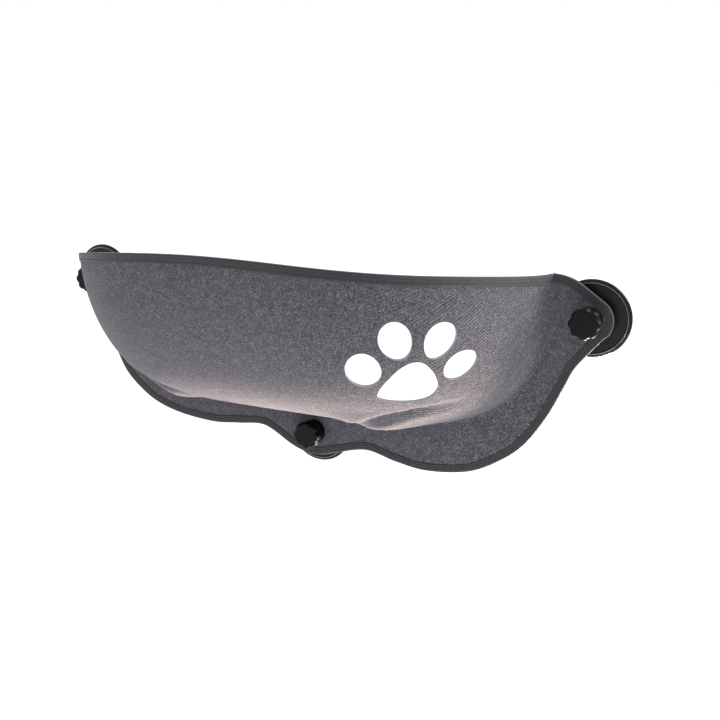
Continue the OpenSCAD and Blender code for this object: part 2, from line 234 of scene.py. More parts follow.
@dataclass(frozen=True)
class PerchPlan:
    """Sizes of the perch and the curves that they drive, in millimetres."""

    tab_out: float = 35.0
    stud_under: float = 29.5
    felt_t: float = 3.0
    felt_gap: float = 12.5
    pod_l: float = 524.0
    pod_d: float = 211.0
    rim_end_h: float = 41.5
    rim_crown: float = 27.0
    left_dip: float = 13.0
    right_sag: float = 2.1
    crease_drop: float = 122.5
    valley_r: float = 14.0
    fold_r: float = 8.0
    roll_h: float = 7.0
    tab_r: float = 22.0
    left_wing_under: float = 37.5
    right_wing_under: float = 53.5
    left_notch_under: float = 31.5
    right_notch_under: float = 41.5
    lobe_reach: float = 27.0
    tape_w: float = 7.6
    collar_room: float = 1.2
    tape_t: float = 0.8
    tape_gap: float = 0.1
    plan_pow: float = 3.7
    fold_pow: float = 4.55
    fold_flat: float = 0.44
    belly_pow: float = 1.82
    end_crowd: float = 1.25
    bend_limit_share: float = 0.5
    dip_pow: int = 5
    sag_share: float = 0.95
    sag_pow: int = 19
    # Middle and half length as shares, then angle up the belly and half width in degrees
    rolls: tuple[tuple[float, ...], ...] = (
        (0.42, 0.22, 22.0, 15.0),
        (-0.80, 0.16, 32.0, 14.0),
        (-0.57, 0.18, 18.0, 14.0),
    )
    # Middle and half length as shares, the upper edge's angle with its slope and bend,
    # and the width in degrees and depth of each crease
    creases: tuple[tuple[float, ...], ...] = (
        (0.52, 0.25, 33.0, 32.0, -90.0, 6.5, 10.0),
        (-0.56, 0.16, 33.0, -40.0, 0.0, 6.0, 7.0),
    )
    crease_lip: float = 3.0
    # The skirt's outline: distance from the middle and depth as shares of each side's own
    lobe_shares: Pairs = ((0.0, 1.0), (0.09, 0.965))
    notch_share: float = 0.215
    left_flank_shares: Pairs = (
        (0.333, 0.975), (0.455, 0.996), (0.610, 0.970), (0.724, 0.912),
        (0.806, 0.822), (0.877, 0.697), (0.926, 0.520), (0.963, 0.340),
    )
    right_flank_shares: Pairs = (
        (0.333, 0.975), (0.455, 1.0), (0.610, 0.962), (0.724, 0.862),
        (0.806, 0.742), (0.877, 0.562), (0.926, 0.390), (0.963, 0.262),
    )
    tab_degrees: tuple[int, ...] = (-58, -34, -10, 14, 38, 62)
    shoulder_shares: tuple[float, float] = (0.957, 0.86)

    @property
    def half_span(self) -> float:
        """Half the distance between the upper studs."""
        return self.half_pod + self.tab_out

    @property
    def stud_rise(self) -> float:
        """Height of the upper studs above the lower one."""
        return self.crease_drop + self.stud_under

    @property
    def half_pod(self) -> float:
        """Half the pod's length."""
        return self.pod_l / 2

    @property
    def sheet_y(self) -> float:
        """Y of the middle of the felt's flat skirt."""
        return -(self.felt_gap + self.felt_t / 2)

    def place(self, side: Side) -> np.ndarray:
        """Return where a mount's stud axis meets the glass.

        Args:
            side: Which mount.

        Returns:
            The point, in millimetres.
        """
        spots = {
            Side.LEFT: (-self.half_span, 0.0, 0.0),
            Side.RIGHT: (self.half_span, 0.0, 0.0),
            Side.LOWER: (0.0, 0.0, -self.stud_rise),
        }
        return np.array(spots[side])

    def pod_depth(self, a: float) -> float:
        """Return the pod's depth at a share a of the half length."""
        deepest = math.sqrt((self.pod_d + self.valley_r) ** 2 - self.valley_r**2)
        return math.hypot(deepest * (1 - a**self.plan_pow), self.valley_r) - self.valley_r

    def end_z(self, q: float) -> float:
        """Return the height of the rim's end on the side of q."""
        return self.rim_end_h - (self.left_dip if q < 0 else 0.0)

    def rim_z(self, q: float) -> float:
        """Return the rim's height.

        Args:
            q: Signed share of the half length.

        Returns:
            The height over the upper studs.
        """
        a = abs(q)
        if q < 0:
            lowered = self.left_dip * a**self.dip_pow
        else:
            sag = (a / self.sag_share) ** self.sag_pow
            lowered = self.right_sag * sag * (1 - a) / (1 - self.sag_share)
        return self.rim_end_h + self.rim_crown * (1 - a * a) - lowered

    def fold_z(self, q: float) -> float:
        """Return the fold line's height.

        Args:
            q: Signed share of the half length.

        Returns:
            The height over the upper studs.
        """
        end = self.end_z(q)
        rise = max(0.0, 1 - abs(q) ** self.fold_pow) ** self.fold_flat
        return end - (end + self.crease_drop) * rise

    def roll_out(self, q: float, angle: float) -> float:
        """Return how far the buckled rolls stand out at a point on the wall.

        Args:
            q: Signed share of the half length.
            angle: Degrees up the belly from the fold line.

        Returns:
            The distance in millimetres.
        """
        return self.roll_h * sum(
            hump((q - middle) / half) * hump((angle - at) / wide)
            for middle, half, at, wide in self.rolls
        )

    def crease_in(self, q: float, angle: float) -> float:
        """Return how far the wall tucks in under its buckled rolls.

        Args:
            q: Signed share of the half length.
            angle: Degrees up the belly from the fold line.

        Returns:
            The distance in millimetres.
        """
        tucked = 0.0
        for middle, half, top, slope, bend, wide, deep in self.creases:
            along = (q - middle) / half
            if abs(along) >= 1:
                continue
            under = top + slope * (q - middle) + bend * (q - middle) ** 2 - angle
            lip = min(1.0, max(0.0, 0.5 + under / self.crease_lip))
            tucked += deep * math.cos(math.pi / 2 * along) * lip * max(0.0, 1 - under / wide)
        return tucked

    def wall_point(self, q: float, angle: float) -> np.ndarray:
        """Return a point on the middle of the wall.

        Args:
            q: Signed share of the half length.
            angle: Degrees from the fold line, 90 at the rim.

        Returns:
            The point, in millimetres.
        """
        a = abs(q)
        turn = math.radians(angle)
        out = max(0.0, math.sin(turn)) ** (2 / self.belly_pow)
        low = max(0.0, math.cos(turn)) ** (2 / self.belly_pow)
        roll = self.roll_out(q, angle) - self.crease_in(q, angle)
        top = self.rim_z(q)
        return np.array([
            q * self.half_pod,
            self.sheet_y - self.pod_depth(a) * out - roll * math.sin(turn),
            top - (top - self.fold_z(q)) * low - roll * math.cos(turn),
        ])

    def drop_angle(self, q: float, drop: float) -> float:
        """Return the wall angle that lies a given drop below the rim.

        Args:
            q: Signed share of the half length.
            drop: Distance below the rim.

        Returns:
            The angle in degrees.
        """
        h = self.rim_z(q) - self.fold_z(q)
        share = min(self.bend_limit_share, drop / max(h, self.tape_t))
        return math.degrees(math.acos(share ** (self.belly_pow / 2)))

    def height_angle(self, q: float, z: float) -> float:
        """Return the wall angle at a height.

        Args:
            q: Signed share of the half length.
            z: Height over the upper studs.

        Returns:
            The angle in degrees.
        """
        top = self.rim_z(q)
        share = (top - z) / (top - self.fold_z(q))
        return math.degrees(math.acos(share ** (self.belly_pow / 2)))

    def side_points(self, sign: int) -> np.ndarray:
        """Return the guide points of one side of the skirt's outline.

        Args:
            sign: -1 for the left side and 1 for the right.

        Returns:
            Points as distance from the middle and height.
        """
        if sign < 0:
            wing, notch = self.left_wing_under, self.left_notch_under
            flank_shares = self.left_flank_shares
        else:
            wing, notch = self.right_wing_under, self.right_notch_under
            flank_shares = self.right_flank_shares
        half, drop = self.half_span, self.crease_drop + wing
        lobe_drop = self.stud_rise + self.lobe_reach
        points = [(s * half, -d * lobe_drop) for s, d in self.lobe_shares]
        points.append((self.notch_share * half, -self.crease_drop - notch))
        points += [(s * half, -d * drop) for s, d in flank_shares]
        for a in map(math.radians, self.tab_degrees):
            points.append((half + self.tab_r * math.cos(a), self.tab_r * math.sin(a)))
        out_share, up_share = self.shoulder_shares
        points.append((out_share * half, up_share * self.end_z(sign)))
        return np.array(points)


def curve_through(points: np.ndarray, steps: int) -> np.ndarray:
    """Return a smooth curve through points, mirrored at its start.

    Args:
        points: Guide points, one row each.
        steps: Number of pieces between two guide points.

    Returns:
        The curve's points.
    """
    before = points[1] * np.array([-1.0, 1.0])
    guide = np.vstack([before, points, points[-1]])
    out = []
    for k in range(1, len(guide) - 2):
        out += [spline_point(guide[k - 1 : k + 3], t) for t in np.arange(steps) / steps]
    out.append(points[-1])
    return np.array(out)


def running_lengths(points: np.ndarray) -> np.ndarray:
    """Return how far along a path each of its points lies."""
    steps = np.linalg.norm(np.diff(points, axis=0), axis=1)
    return np.concatenate([[0.0], np.cumsum(steps)])


def running_shares(points: np.ndarray) -> np.ndarray:
    """Return how far along a path each of its points lies, as shares of its length."""
    run = running_lengths(points)
    return run / run[-1]


def unit_rows(rows: np.ndarray) -> np.ndarray:
    """Return each row scaled to length one."""
    return rows / np.maximum(np.linalg.norm(rows, axis=-1, keepdims=True), 1e-9)


@dataclass
class SheetGrid:
    """The felt's middle surface as a grid: columns along the window, rows up the wall."""

    plan: PerchPlan
    side_columns: int = 150
    skirt_rows: int = 9
    bend_rows: int = 7
    wall_rows: int = 72
    fold_samples: int = 361
    fold_crowd: int = 3
    outline_steps: int = 24

    def __post_init__(self) -> None:
        """Work out the grid's points and normals."""
        self.columns = 2 * self.side_columns
        self.fold_row = self.skirt_rows + self.bend_rows
        self.rows = self.fold_row + self.wall_rows
        steps = 1 - (1 - np.linspace(0, 1, self.fold_samples)) ** self.fold_crowd
        fold = np.array([[a * self.plan.half_pod, self.plan.fold_z(a)] for a in steps])
        self._fold = (running_shares(fold), steps)
        self._outline = {}
        for sign in (-1, 1):
            path = curve_through(self.plan.side_points(sign), self.outline_steps)
            self._outline[sign] = (running_shares(path), path)
        self.q = np.array([self._share_q(i) for i in range(self.columns + 1)])
        self.points = np.array([self._column(i) for i in range(self.columns + 1)])
        self.normals = self._normals()

    def _share(self, i: int) -> float:
        """Return column i's signed share of the outline's length."""
        t = (i - self.side_columns) / self.side_columns
        return math.copysign(1 - (1 - abs(t)) ** self.plan.end_crowd, t)

    def _share_q(self, i: int) -> float:
        """Return column i's signed share of the pod's half length."""
        s = self._share(i)
        return math.copysign(float(np.interp(abs(s), *self._fold)), s)

    def _edge(self, i: int) -> np.ndarray:
        """Return a column's point on the skirt's edge.

        Args:
            i: Number of the column, from the left.

        Returns:
            The point.
        """
        s = self._share(i)
        sign = -1 if s < 0 else 1
        shares, path = self._outline[sign]
        return np.array([
            sign * np.interp(abs(s), shares, path[:, 0]),
            self.plan.sheet_y,
            np.interp(abs(s), shares, path[:, 1]),
        ])

    def _column(self, i: int) -> np.ndarray:
        """Return a column's points, from the skirt's edge to the rim.

        Args:
            i: Number of the column, from the left.

        Returns:
            One row for each grid row.
        """
        plan = self.plan
        q = self.q[i]
        knee = np.array([q * plan.half_pod, plan.sheet_y, plan.fold_z(q)])
        edge = self._edge(i)
        wall_h = plan.rim_z(q) - knee[2]
        depth = plan.pod_depth(abs(q))
        start = 0.0
        if wall_h > TINY_MM:
            share = min(plan.bend_limit_share, plan.fold_r / max(depth, plan.fold_r))
            start = math.degrees(math.asin(share ** (plan.belly_pow / 2)))
        before = knee + unit_rows(edge - knee) * plan.fold_r
        after = plan.wall_point(q, start) if wall_h > TINY_MM else knee
        rows = [before * t + edge * (1 - t) for t in np.arange(self.skirt_rows) / self.skirt_rows]
        for t in np.linspace(0, 1, self.bend_rows + 1):
            rows.append(before * (1 - t) ** 2 + knee * 2 * t * (1 - t) + after * t * t)
        for t in np.arange(1, self.wall_rows + 1) / self.wall_rows:
            rows.append(plan.wall_point(q, start + (90 - start) * t) if wall_h > TINY_MM else knee)
        return np.array(rows)

    def _normals(self) -> np.ndarray:
        """Work out the way that the sheet faces at each grid point.

        Returns:
            Unit normals to the sheet's glass side and the pod's inside.
        """
        p = self.points
        along = np.empty_like(p)
        along[1:-1] = p[2:] - p[:-2]
        along[0] = p[1] - p[0]
        along[-1] = p[-1] - p[-2]
        up = np.empty_like(p)
        up[:, 1:-1] = p[:, 2:] - p[:, :-2]
        up[:, 0] = p[:, 1] - p[:, 0]
        up[:, -1] = p[:, -1] - p[:, -2]
        normals = unit_rows(np.cross(up, along))
        for end in (0, -1):
            normals[end, :] = (0.0, 1.0, 0.0)
        return normals


def skin_faces(columns: int, rows: int) -> list[list[int]]:
    """Return the faces of a closed sheet: two grids and the band round their edge.

    Args:
        columns: Number of cells along the sheet.
        rows: Number of cells across it.

    Returns:
        Faces that point outwards, for the outer grid's points then the inner's.
    """
    size = (columns + 1) * (rows + 1)

    def at(skin: int, i: int, j: int) -> int:
        """Return the number of a grid point on a skin."""
        return skin * size + i * (rows + 1) + j

    faces = []
    for i in range(columns):
        for j in range(rows):
            quad = [(i, j), (i, j + 1), (i + 1, j + 1), (i + 1, j)]
            faces.append([at(0, *c) for c in quad])
            faces.append([at(1, *c) for c in reversed(quad)])
    for i in range(columns):
        faces.append([at(0, i, 0), at(0, i + 1, 0), at(1, i + 1, 0), at(1, i, 0)])
        faces.append([at(1, i, rows), at(1, i + 1, rows), at(0, i + 1, rows), at(0, i, rows)])
    for j in range(rows):
        faces.append([at(1, 0, j), at(1, 0, j + 1), at(0, 0, j + 1), at(0, 0, j)])
        faces.append([at(0, columns, j), at(0, columns, j + 1),
                      at(1, columns, j + 1), at(1, columns, j)])
    return faces


class FinishTree:
    """A material under way: its shader, and short ways to add the nodes it needs."""

    def __init__(self, name: str) -> None:
        """Start a material.

        Args:
            name: Name of the finish.
        """
        self.material = bpy.data.materials.new(name)
        self.material.use_nodes = True
        self.tree = self.material.node_tree
        self.shader = self.tree.nodes["Principled BSDF"]
        self.place = add_node(self.tree, "ShaderNodeTexCoord").outputs["Object"]

    def cloth(self) -> Socket:
        """Return the piece's map that follows its surface."""
        return add_node(self.tree, "ShaderNodeUVMap", uv_map="cloth").outputs["UV"]

    def marked(self, name: str) -> Socket:
        """Return an attribute of the mesh."""
        return add_node(self.tree, "ShaderNodeAttribute", attribute_name=name).outputs["Fac"]

    def mapped(
        self, vector: Socket, degrees: float = 0.0, scale: Sequence[float] = (1.0, 1.0, 1.0)
    ) -> Socket:
        """Return a place stretched along its axes and turned about Z."""
        inputs = {"Vector": vector, "Rotation": (0.0, 0.0, math.radians(degrees)), "Scale": scale}
        return add_node(self.tree, "ShaderNodeMapping", inputs).outputs["Vector"]

    def noise(
        self, vector: Socket, scale: float, detail: float, roughness: float = 0.5
    ) -> Socket:
        """Return soft noise from zero to one, with scale as specks to a metre."""
        inputs = {"Vector": vector, "Scale": scale, "Detail": detail, "Roughness": roughness}
        return add_node(self.tree, "ShaderNodeTexNoise", inputs).outputs["Fac"]

    def bands(self, vector: Socket, scale: float, across: str, **swing: float) -> Socket:
        """Return soft bands across an axis, with the wave's settings where they waver.

        Args:
            vector: Where they read their place.
            scale: Bands to a metre, times pi / 10.
            across: Axis that crosses them.
            swing: The wave's other inputs, in small letters.

        Returns:
            The bands, from zero to one.
        """
        inputs = {name.replace("_", " ").title(): value for name, value in swing.items()}
        inputs.update({"Vector": vector, "Scale": scale})
        settings = {"wave_type": "BANDS", "bands_direction": across}
        return add_node(self.tree, "ShaderNodeTexWave", inputs, **settings).outputs["Fac"]

    def ranged(self, value: Socket, shares: Sequence[float]) -> Socket:
        """Return a value mapped from its own low and high, to zero and one or the two given."""
        inputs = dict(zip(("Value", "From Min", "From Max", "To Min", "To Max"), (value, *shares)))
        return add_node(self.tree, "ShaderNodeMapRange", inputs).outputs["Result"]

    def sum_up(self, operation: str, *values: Any) -> Socket:
        """Return the result of one of Blender's sums on numbers or sockets."""
        inputs = dict(enumerate(values))
        return add_node(self.tree, "ShaderNodeMath", inputs, operation=operation).outputs[0]

    def mixed(self, factor: Any, a: Any, b: Any, data_type: str = "RGBA") -> Socket:
        """Return a mix of two colours, or of two numbers with the type FLOAT."""
        inputs = {"Factor": factor, "A": a, "B": b}
        return add_node(self.tree, "ShaderNodeMix", inputs, data_type=data_type).outputs["Result"]

    def relief(self, height: Socket, strength: float, depth_mm: float) -> None:
        """Give the surface a fine relief.

        Args:
            height: Its height, from zero to one.
            strength: How strongly it shows.
            depth_mm: Its depth in millimetres.
        """
        inputs = {"Height": height, "Strength": strength, "Distance": depth_mm * MM}
        bump = add_node(self.tree, "ShaderNodeBump", inputs)
        self.tree.links.new(bump.outputs["Normal"], self.shader.inputs["Normal"])

    def surface(self, values: dict[str, Any]) -> Material:
        """Set the shader and hand the material over.

        Args:
            values: Name of each input of the shader with its value or socket.

        Returns:
            The finished material.
        """
        feed(self.tree, self.shader, values)
        return self.material


@dataclass(frozen=True)
class NeedledFelt:
    """Polyester fibre needled into stiff felt: dull, mottled, with a soft sheen."""

    colour: str = "#5b5c62"
    dark: str = "#333439"
    light: str = "#8f9096"
    # Painted highlight: a paler colour for the cut faces round the paw's holes
    cut_edge_highlight: str = "#b9b9bd"
    bloom: str = "#d6d6da"
    blotch_mm: float = 6.0
    fleck_mm: float = 1.5
    pit_mm: float = 2.6
    relief_mm: float = 0.6
    rib_mm: float = 1.5
    rib_run_mm: float = 14.0
    line_mm: float = 2.9
    rib_turn: float = 24.0
    # From low and high to low and high, as shares of the noise and of the tone
    blotch_shares: tuple[float, ...] = (0.30, 0.70, 0.36, 0.64)
    fleck_shares: tuple[float, ...] = (0.28, 0.72, -0.42, 0.42)
    rib_shares: tuple[float, ...] = (0.22, 0.78, -1.0, 1.0)
    worked_shares: tuple[float, ...] = (0.01, 0.08, 0.5, 1.0)
    pit_shares: tuple[float, ...] = (0.05, 0.30, -0.22, 0.0)
    line_share: float = 0.5
    rib_tone_share: float = 0.25
    rib_relief_share: float = 0.45

    def build(self) -> Material:
        """Make the felt's material.

        Returns:
            The node material.
        """
        made = FinishTree("needled_felt_grey")
        # Blotches a few millimetres wide, where the fibre lies thick or thin
        blotch = made.noise(made.place, 1000 / self.blotch_mm, detail=5.0, roughness=0.68)
        fleck = made.noise(made.place, 1000 / self.fleck_mm, detail=3.0, roughness=0.6)
        # Ribs from the stretch round the pod's corner, laid aslant on the sheet
        cloth = made.cloth()
        long_ribs = (1000 / self.rib_run_mm, 1000 / self.rib_mm, 1.0)
        uneven = made.noise(made.mapped(cloth, self.rib_turn, long_ribs), scale=1.0, detail=2.0)
        line = made.bands(
            made.mapped(cloth, self.rib_turn), 1000 * math.pi / 10 / self.line_mm, "Y",
            distortion=2.8, detail=1.5, detail_scale=0.4)
        rib = made.ranged(made.mixed(self.line_share, uneven, line, "FLOAT"), self.rib_shares)
        pull = made.marked("pull")
        rib = made.sum_up("MULTIPLY", rib, pull)
        tone = made.ranged(blotch, self.blotch_shares)
        tone = made.sum_up("MULTIPLY_ADD", rib, self.rib_tone_share, tone)
        # The flat skirt is pressed smoother than the bent wall
        worked = made.ranged(pull, self.worked_shares)
        grain = made.sum_up("MULTIPLY", made.ranged(fleck, self.fleck_shares), worked)
        tone = made.sum_up("ADD", tone, grain)
        # Small dark pits, where the needles went in
        pit = add_node(
            made.tree, "ShaderNodeTexVoronoi",
            {"Vector": made.place, "Scale": 1000 / self.pit_mm}).outputs["Distance"]
        tone = made.sum_up("ADD", tone, made.ranged(pit, self.pit_shares))
        ramp = add_node(made.tree, "ShaderNodeValToRGB", {"Fac": tone})
        steps = ramp.color_ramp.elements
        steps[0].color = linear(self.dark)
        steps[1].color = linear(self.light)
        steps.new(0.5).color = linear(self.colour)
        # The cut faces round the paw's holes are painted paler: a painted highlight where light
        # catches the cut edges
        shown = made.mixed(made.marked("cut"), ramp.outputs["Color"], linear(self.cut_edge_highlight))
        height = made.sum_up("MULTIPLY_ADD", rib, self.rib_relief_share, fleck)
        made.relief(height, strength=0.75, depth_mm=self.relief_mm)
        return made.surface({
            "Base Color": shown, "Roughness": 0.95, "Specular IOR Level": 0.15,
            "Sheen Weight": 0.35, "Sheen Roughness": 0.55, "Sheen Tint": linear(self.bloom)})


@dataclass(frozen=True)
class WovenTape:
    """Woven polyester binding tape: charcoal, with a fine cross rib and long stripes."""

    colour: str = "#262629"
    light: str = "#4c4c50"
    rib_mm: float = 0.9
    thread_scale: float = 0.5
    stripe_mm: float = 2.7
    fuzz_mm: float = 1 / 0.9
    relief_mm: float = 0.3
    rib_share: float = 0.35
    stripe_share: float = 0.55
    tone_shares: tuple[float, ...] = (0.45, 1.65)

    def build(self) -> Material:
        """Make the tape's material.

        Returns:
            The node material.
        """
        made = FinishTree("woven_polyester_tape")
        cloth = made.cloth()
        # One rib for each cross thread, coarse enough to show
        threads = made.mapped(cloth, scale=(1000 / self.rib_mm, 1000 / self.rib_mm, 1.0))
        ribs = made.bands(threads, self.thread_scale, "X", distortion=0.6, detail=1.0)
        stripe = made.bands(cloth, 1000 * math.pi / 10 / self.stripe_mm, "Y")
        fuzz = made.noise(made.place, 1000 / self.fuzz_mm, detail=3.0)
        weave = made.sum_up("MULTIPLY_ADD", ribs, self.rib_share, fuzz)
        tone = made.sum_up("MULTIPLY_ADD", stripe, self.stripe_share, weave)
        made.relief(weave, strength=0.5, depth_mm=self.relief_mm)
        return made.surface({
            "Base Color": made.mixed(
                made.ranged(tone, self.tone_shares), linear(self.colour), linear(self.light)),
            "Roughness": 0.75, "Specular IOR Level": 0.3, "Sheen Weight": 0.4})


@dataclass(frozen=True)
class MouldedBlack:
    """A black moulded piece: plastic or rubber with a faint flow and wear pattern."""

    name: str
    colour: str
    roughness: float
    grain_mm: float
    relief_mm: float
    specular: float = 0.5
    coat: float = 0.0
    wear_mm: float = 9.0
    gloss_shares: tuple[float, float] = (0.75, 1.3)
    grain_shares: tuple[float, float] = (0.45, 0.8)
    worn_shares: tuple[float, float] = (1.7, 0.004)

    def build(self) -> Material:
        """Make the moulded material.

        Returns:
            The node material.
        """
        made = FinishTree(self.name)
        grain = made.noise(made.place, 1000 / self.grain_mm, detail=4.0)
        wear = made.noise(made.place, 1000 / self.wear_mm, detail=5.0)
        gloss = [self.roughness * share for share in self.gloss_shares]
        base = linear(self.colour)
        gain, lift = self.worn_shares
        worn = tuple(min(1.0, c * gain + lift) for c in base[:3]) + (1.0,)
        made.relief(grain, strength=0.35, depth_mm=self.relief_mm)
        return made.surface({
            "Base Color": made.mixed(made.ranged(grain, self.grain_shares), base, worn),
            "Roughness": made.ranged(wear, (*NOISE_SHARES, *gloss)),
            "Specular IOR Level": self.specular, "Coat Weight": self.coat})


@dataclass(frozen=True)
class TurnedMetal:
    """A machined metal piece: fine turning marks and a slightly uneven polish."""

    name: str
    colour: str
    roughness: float
    mark_mm: float = 0.35
    mark_run_mm: float = 1000 / 120
    relief_mm: float = 0.1
    gloss_shares: tuple[float, float] = (0.7, 1.4)

    def build(self) -> Material:
        """Make the metal's material.

        Returns:
            The node material.
        """
        made = FinishTree(self.name)
        run = 1000 / self.mark_run_mm
        turned_marks = made.mapped(made.place, scale=(run, 1000 / self.mark_mm, run))
        marks = made.noise(turned_marks, scale=1.0, detail=3.0)
        gloss = [self.roughness * share for share in self.gloss_shares]
        made.relief(marks, strength=0.2, depth_mm=self.relief_mm)
        return made.surface({
            "Base Color": linear(self.colour), "Metallic": 1.0,
            "Roughness": made.ranged(marks, (*NOISE_SHARES, *gloss))})


@dataclass
class Finishes:
    """Every finish of the perch, made once."""

    def __post_init__(self) -> None:
        """Build the materials."""
        self.felt = NeedledFelt().build()
        self.tape = WovenTape().build()
        # Sewing thread: a little lighter than the tape and slightly shiny
        self.thread = MouldedBlack(
            "spun_polyester_thread", "#404044", 0.6, 0.5, 0.05, 0.3).build()
        # Soft PVC from a polished mould: black, smooth and glossy
        self.rubber = MouldedBlack("moulded_pvc_black", "#0b0c0e", 0.22, 2.2, 0.04, 0.22).build()
        # The same PVC where the mould was polished: the lip catches the light in its gloss and coat,
        # and its base colour, lighter than the pad's, is a painted highlight
        self.lip = MouldedBlack("glossy_pvc_lip_painted_highlight", "#1c1d1f", 0.12, 2.2, 0.02, 1.0, 1.0).build()
        # ABS from a fine-textured mould: dark grey, satin
        self.shell = MouldedBlack("moulded_abs_black", "#151619", 0.34, 0.8, 0.04, 0.22).build()
        # Glass-filled nylon: near black, satin, with a light grain
        self.knob = MouldedBlack("moulded_nylon_black", "#08080a", 0.44, 0.7, 0.05, 0.14).build()
        self.steel = TurnedMetal("zinc_plated_steel", "#b9bcc0", 0.28).build()
        self.brass = TurnedMetal("turned_brass", "#b5924c", 0.30).build()


@dataclass
class FeltSheet:
    """The stiff felt sheet: pod, fold line and skirt in one, with the paw cut-out."""

    plan: PerchPlan
    grid: SheetGrid
    toe_l: float = 39.0
    toe_w: float = 31.0
    pad_l: float = 54.8
    pad_w: float = 57.4
    pad_place_shares: tuple[float, float] = (0.639, -0.382)
    pad_tilt: float = 1.0
    pad_steps: int = 7
    cut_depth: float = 24.0
    merge_mm: float = 0.02
    sharp_degrees: float = 40.0
    probe_share: float = 0.003
    probe_degrees: float = 0.8
    toe_step: int = 5
    # Where the stretched corner lies: from, to and the length over which it grows or fades
    flank_x: tuple[float, ...] = (130.0, 262.0, 100.0, 30.0)
    flank_top: tuple[float, float] = (75.0, 60.0)
    low_x: tuple[float, float] = (-40.0, 160.0)
    low_z: tuple[float, float] = (10.0, 90.0)
    # How strongly the ribs show: all over, on the flank and low on the wall, at the
    # flank's top, and on the skirt
    pull_shares: tuple[float, ...] = (0.06, 0.9, 0.2, 0.35, 0.12)

    def build(self, finish: Material) -> Object:
        """Build the sheet and cut its holes.

        Args:
            finish: Felt material.

        Returns:
            The finished sheet, in the frame's place.
        """
        grid, half = self.grid, self.plan.felt_t / 2
        outer = (grid.points + grid.normals * half).reshape(-1, 3)
        inner = (grid.points - grid.normals * half).reshape(-1, 3)
        sheet = make_mesh_object(
            "felt_sheet", np.vstack([outer, inner]), skin_faces(grid.columns, grid.rows))
        self._map_cloth(sheet)
        face_outwards(sheet, self.merge_mm)
        cutter = self._cutter()
        mark = bpy.data.materials.new("cut_mark")
        cutter.data.materials.append(mark)
        sheet.data.materials.append(finish)
        cut = sheet.modifiers.new("cut", "BOOLEAN")
        cut.operation = "DIFFERENCE"
        cut.solver = "EXACT"
        cut.material_mode = "TRANSFER"
        cut.object = cutter
        baked(sheet)
        bpy.data.objects.remove(cutter)
        self._mark_cut(sheet.data, finish)
        bpy.data.materials.remove(mark)
        shade(sheet, Shading.BY_ANGLE, self.sharp_degrees)
        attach(sheet, "cradle")
        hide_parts("felt_cradle")
        return sheet

    def _mark_cut(self, mesh: bpy.types.Mesh, finish: Material) -> None:
        """Mark the faces that the paw's cutter left, and give the whole sheet one finish.

        Args:
            mesh: The sheet's mesh, with the cutter's material on the cut faces.
            finish: Felt material.
        """
        index = np.zeros(len(mesh.polygons), dtype=np.int32)
        mesh.polygons.foreach_get("material_index", index)
        cut = mesh.attributes.new("cut", "FLOAT", "FACE")
        cut.data.foreach_set("value", (index > 0).astype(np.float32))
        LOG.info("paw: %d cut faces", int((index > 0).sum()))
        mesh.polygons.foreach_set("material_index", np.zeros_like(index))
        mesh.materials.clear()
        mesh.materials.append(finish)

    def _map_cloth(self, sheet: Object) -> None:
        """Give the sheet its cloth map and the pull of the corner on its ribs.

        Args:
            sheet: Sheet with one point for each grid point of both skins.
        """
        grid = self.grid
        p = grid.points
        v = np.array([running_lengths(column) for column in p])
        v -= v[:, grid.fold_row : grid.fold_row + 1]
        middle = grid.fold_row + grid.wall_rows // 2
        u = running_lengths(p[:, middle])[:, None] * np.ones_like(v)
        u -= u[grid.side_columns]
        at = np.stack([u, v], axis=2).reshape(-1, 2) * MM
        at = np.vstack([at, at])
        layer = sheet.data.uv_layers.new(name="cloth")
        corners = np.empty(len(sheet.data.loops), int)
        sheet.data.loops.foreach_get("vertex_index", corners)
        layer.data.foreach_set("uv", at[corners].astype(np.float32).ravel())
        pull = self._pull()
        attribute = sheet.data.attributes.new("pull", "FLOAT", "POINT")
        attribute.data.foreach_set("value", np.concatenate([pull, pull]).astype(np.float32))

    def _pull(self) -> np.ndarray:
        """Work out how strongly the felt is stretched at each grid point.

        Returns:
            Shares from zero to one, in the grid's order.
        """
        x, z = self.grid.points[..., 0], self.grid.points[..., 2]
        every, by_flank, by_low, at_top, on_skirt = self.pull_shares
        start, end, grow, fade = self.flank_x
        flank = np.clip((x - start) / grow, 0, 1) * np.clip((end - x) / fade, 0, 1)
        top, fall = self.flank_top
        flank = flank * np.clip((top - z) / fall, at_top, 1)
        low = np.clip((self.low_z[0] - z) / self.low_z[1], 0, 1)
        low = low * np.clip((x - self.low_x[0]) / self.low_x[1], 0, 1)
        on_wall = np.arange(x.shape[1])[None, :] > self.grid.fold_row - 2
        pull = np.clip(every + by_flank * flank + by_low * low, 0, 1)
        return (pull * np.where(on_wall, 1.0, on_skirt)).ravel()

    def _on_wall(self, q: float, height_share: float, tilt: float) -> Matrix:
        """Return the place of a hole: x along the wall, y up it and z through it.

        Args:
            q: Signed share of the half length.
            height_share: Height as a share of the fold line's drop.
            tilt: Degrees that the hole leans to the right.

        Returns:
            The hole's place and turn, in millimetres.
        """
        plan, near, turn = self.plan, self.probe_share, self.probe_degrees
        angle = plan.height_angle(q, height_share * plan.crease_drop)
        along = plan.wall_point(q + near, angle) - plan.wall_point(q - near, angle)
        up = plan.wall_point(q, angle + turn) - plan.wall_point(q, angle - turn)
        through = Vector(np.cross(up, along)).normalized()
        side = Vector((0, 0, 1)).cross(through).normalized()
        right = -side if side.x < 0 else side
        rise = through.cross(right).normalized()
        rise = -rise if rise.z < 0 else rise
        if right.cross(rise).dot(through) < 0:
            through = -through
        frame = Matrix((right, rise, through)).transposed().to_4x4()
        lean = Matrix.Rotation(math.radians(-tilt), 4, "Z")
        return Matrix.Translation(Vector(plan.wall_point(q, angle))) @ frame @ lean

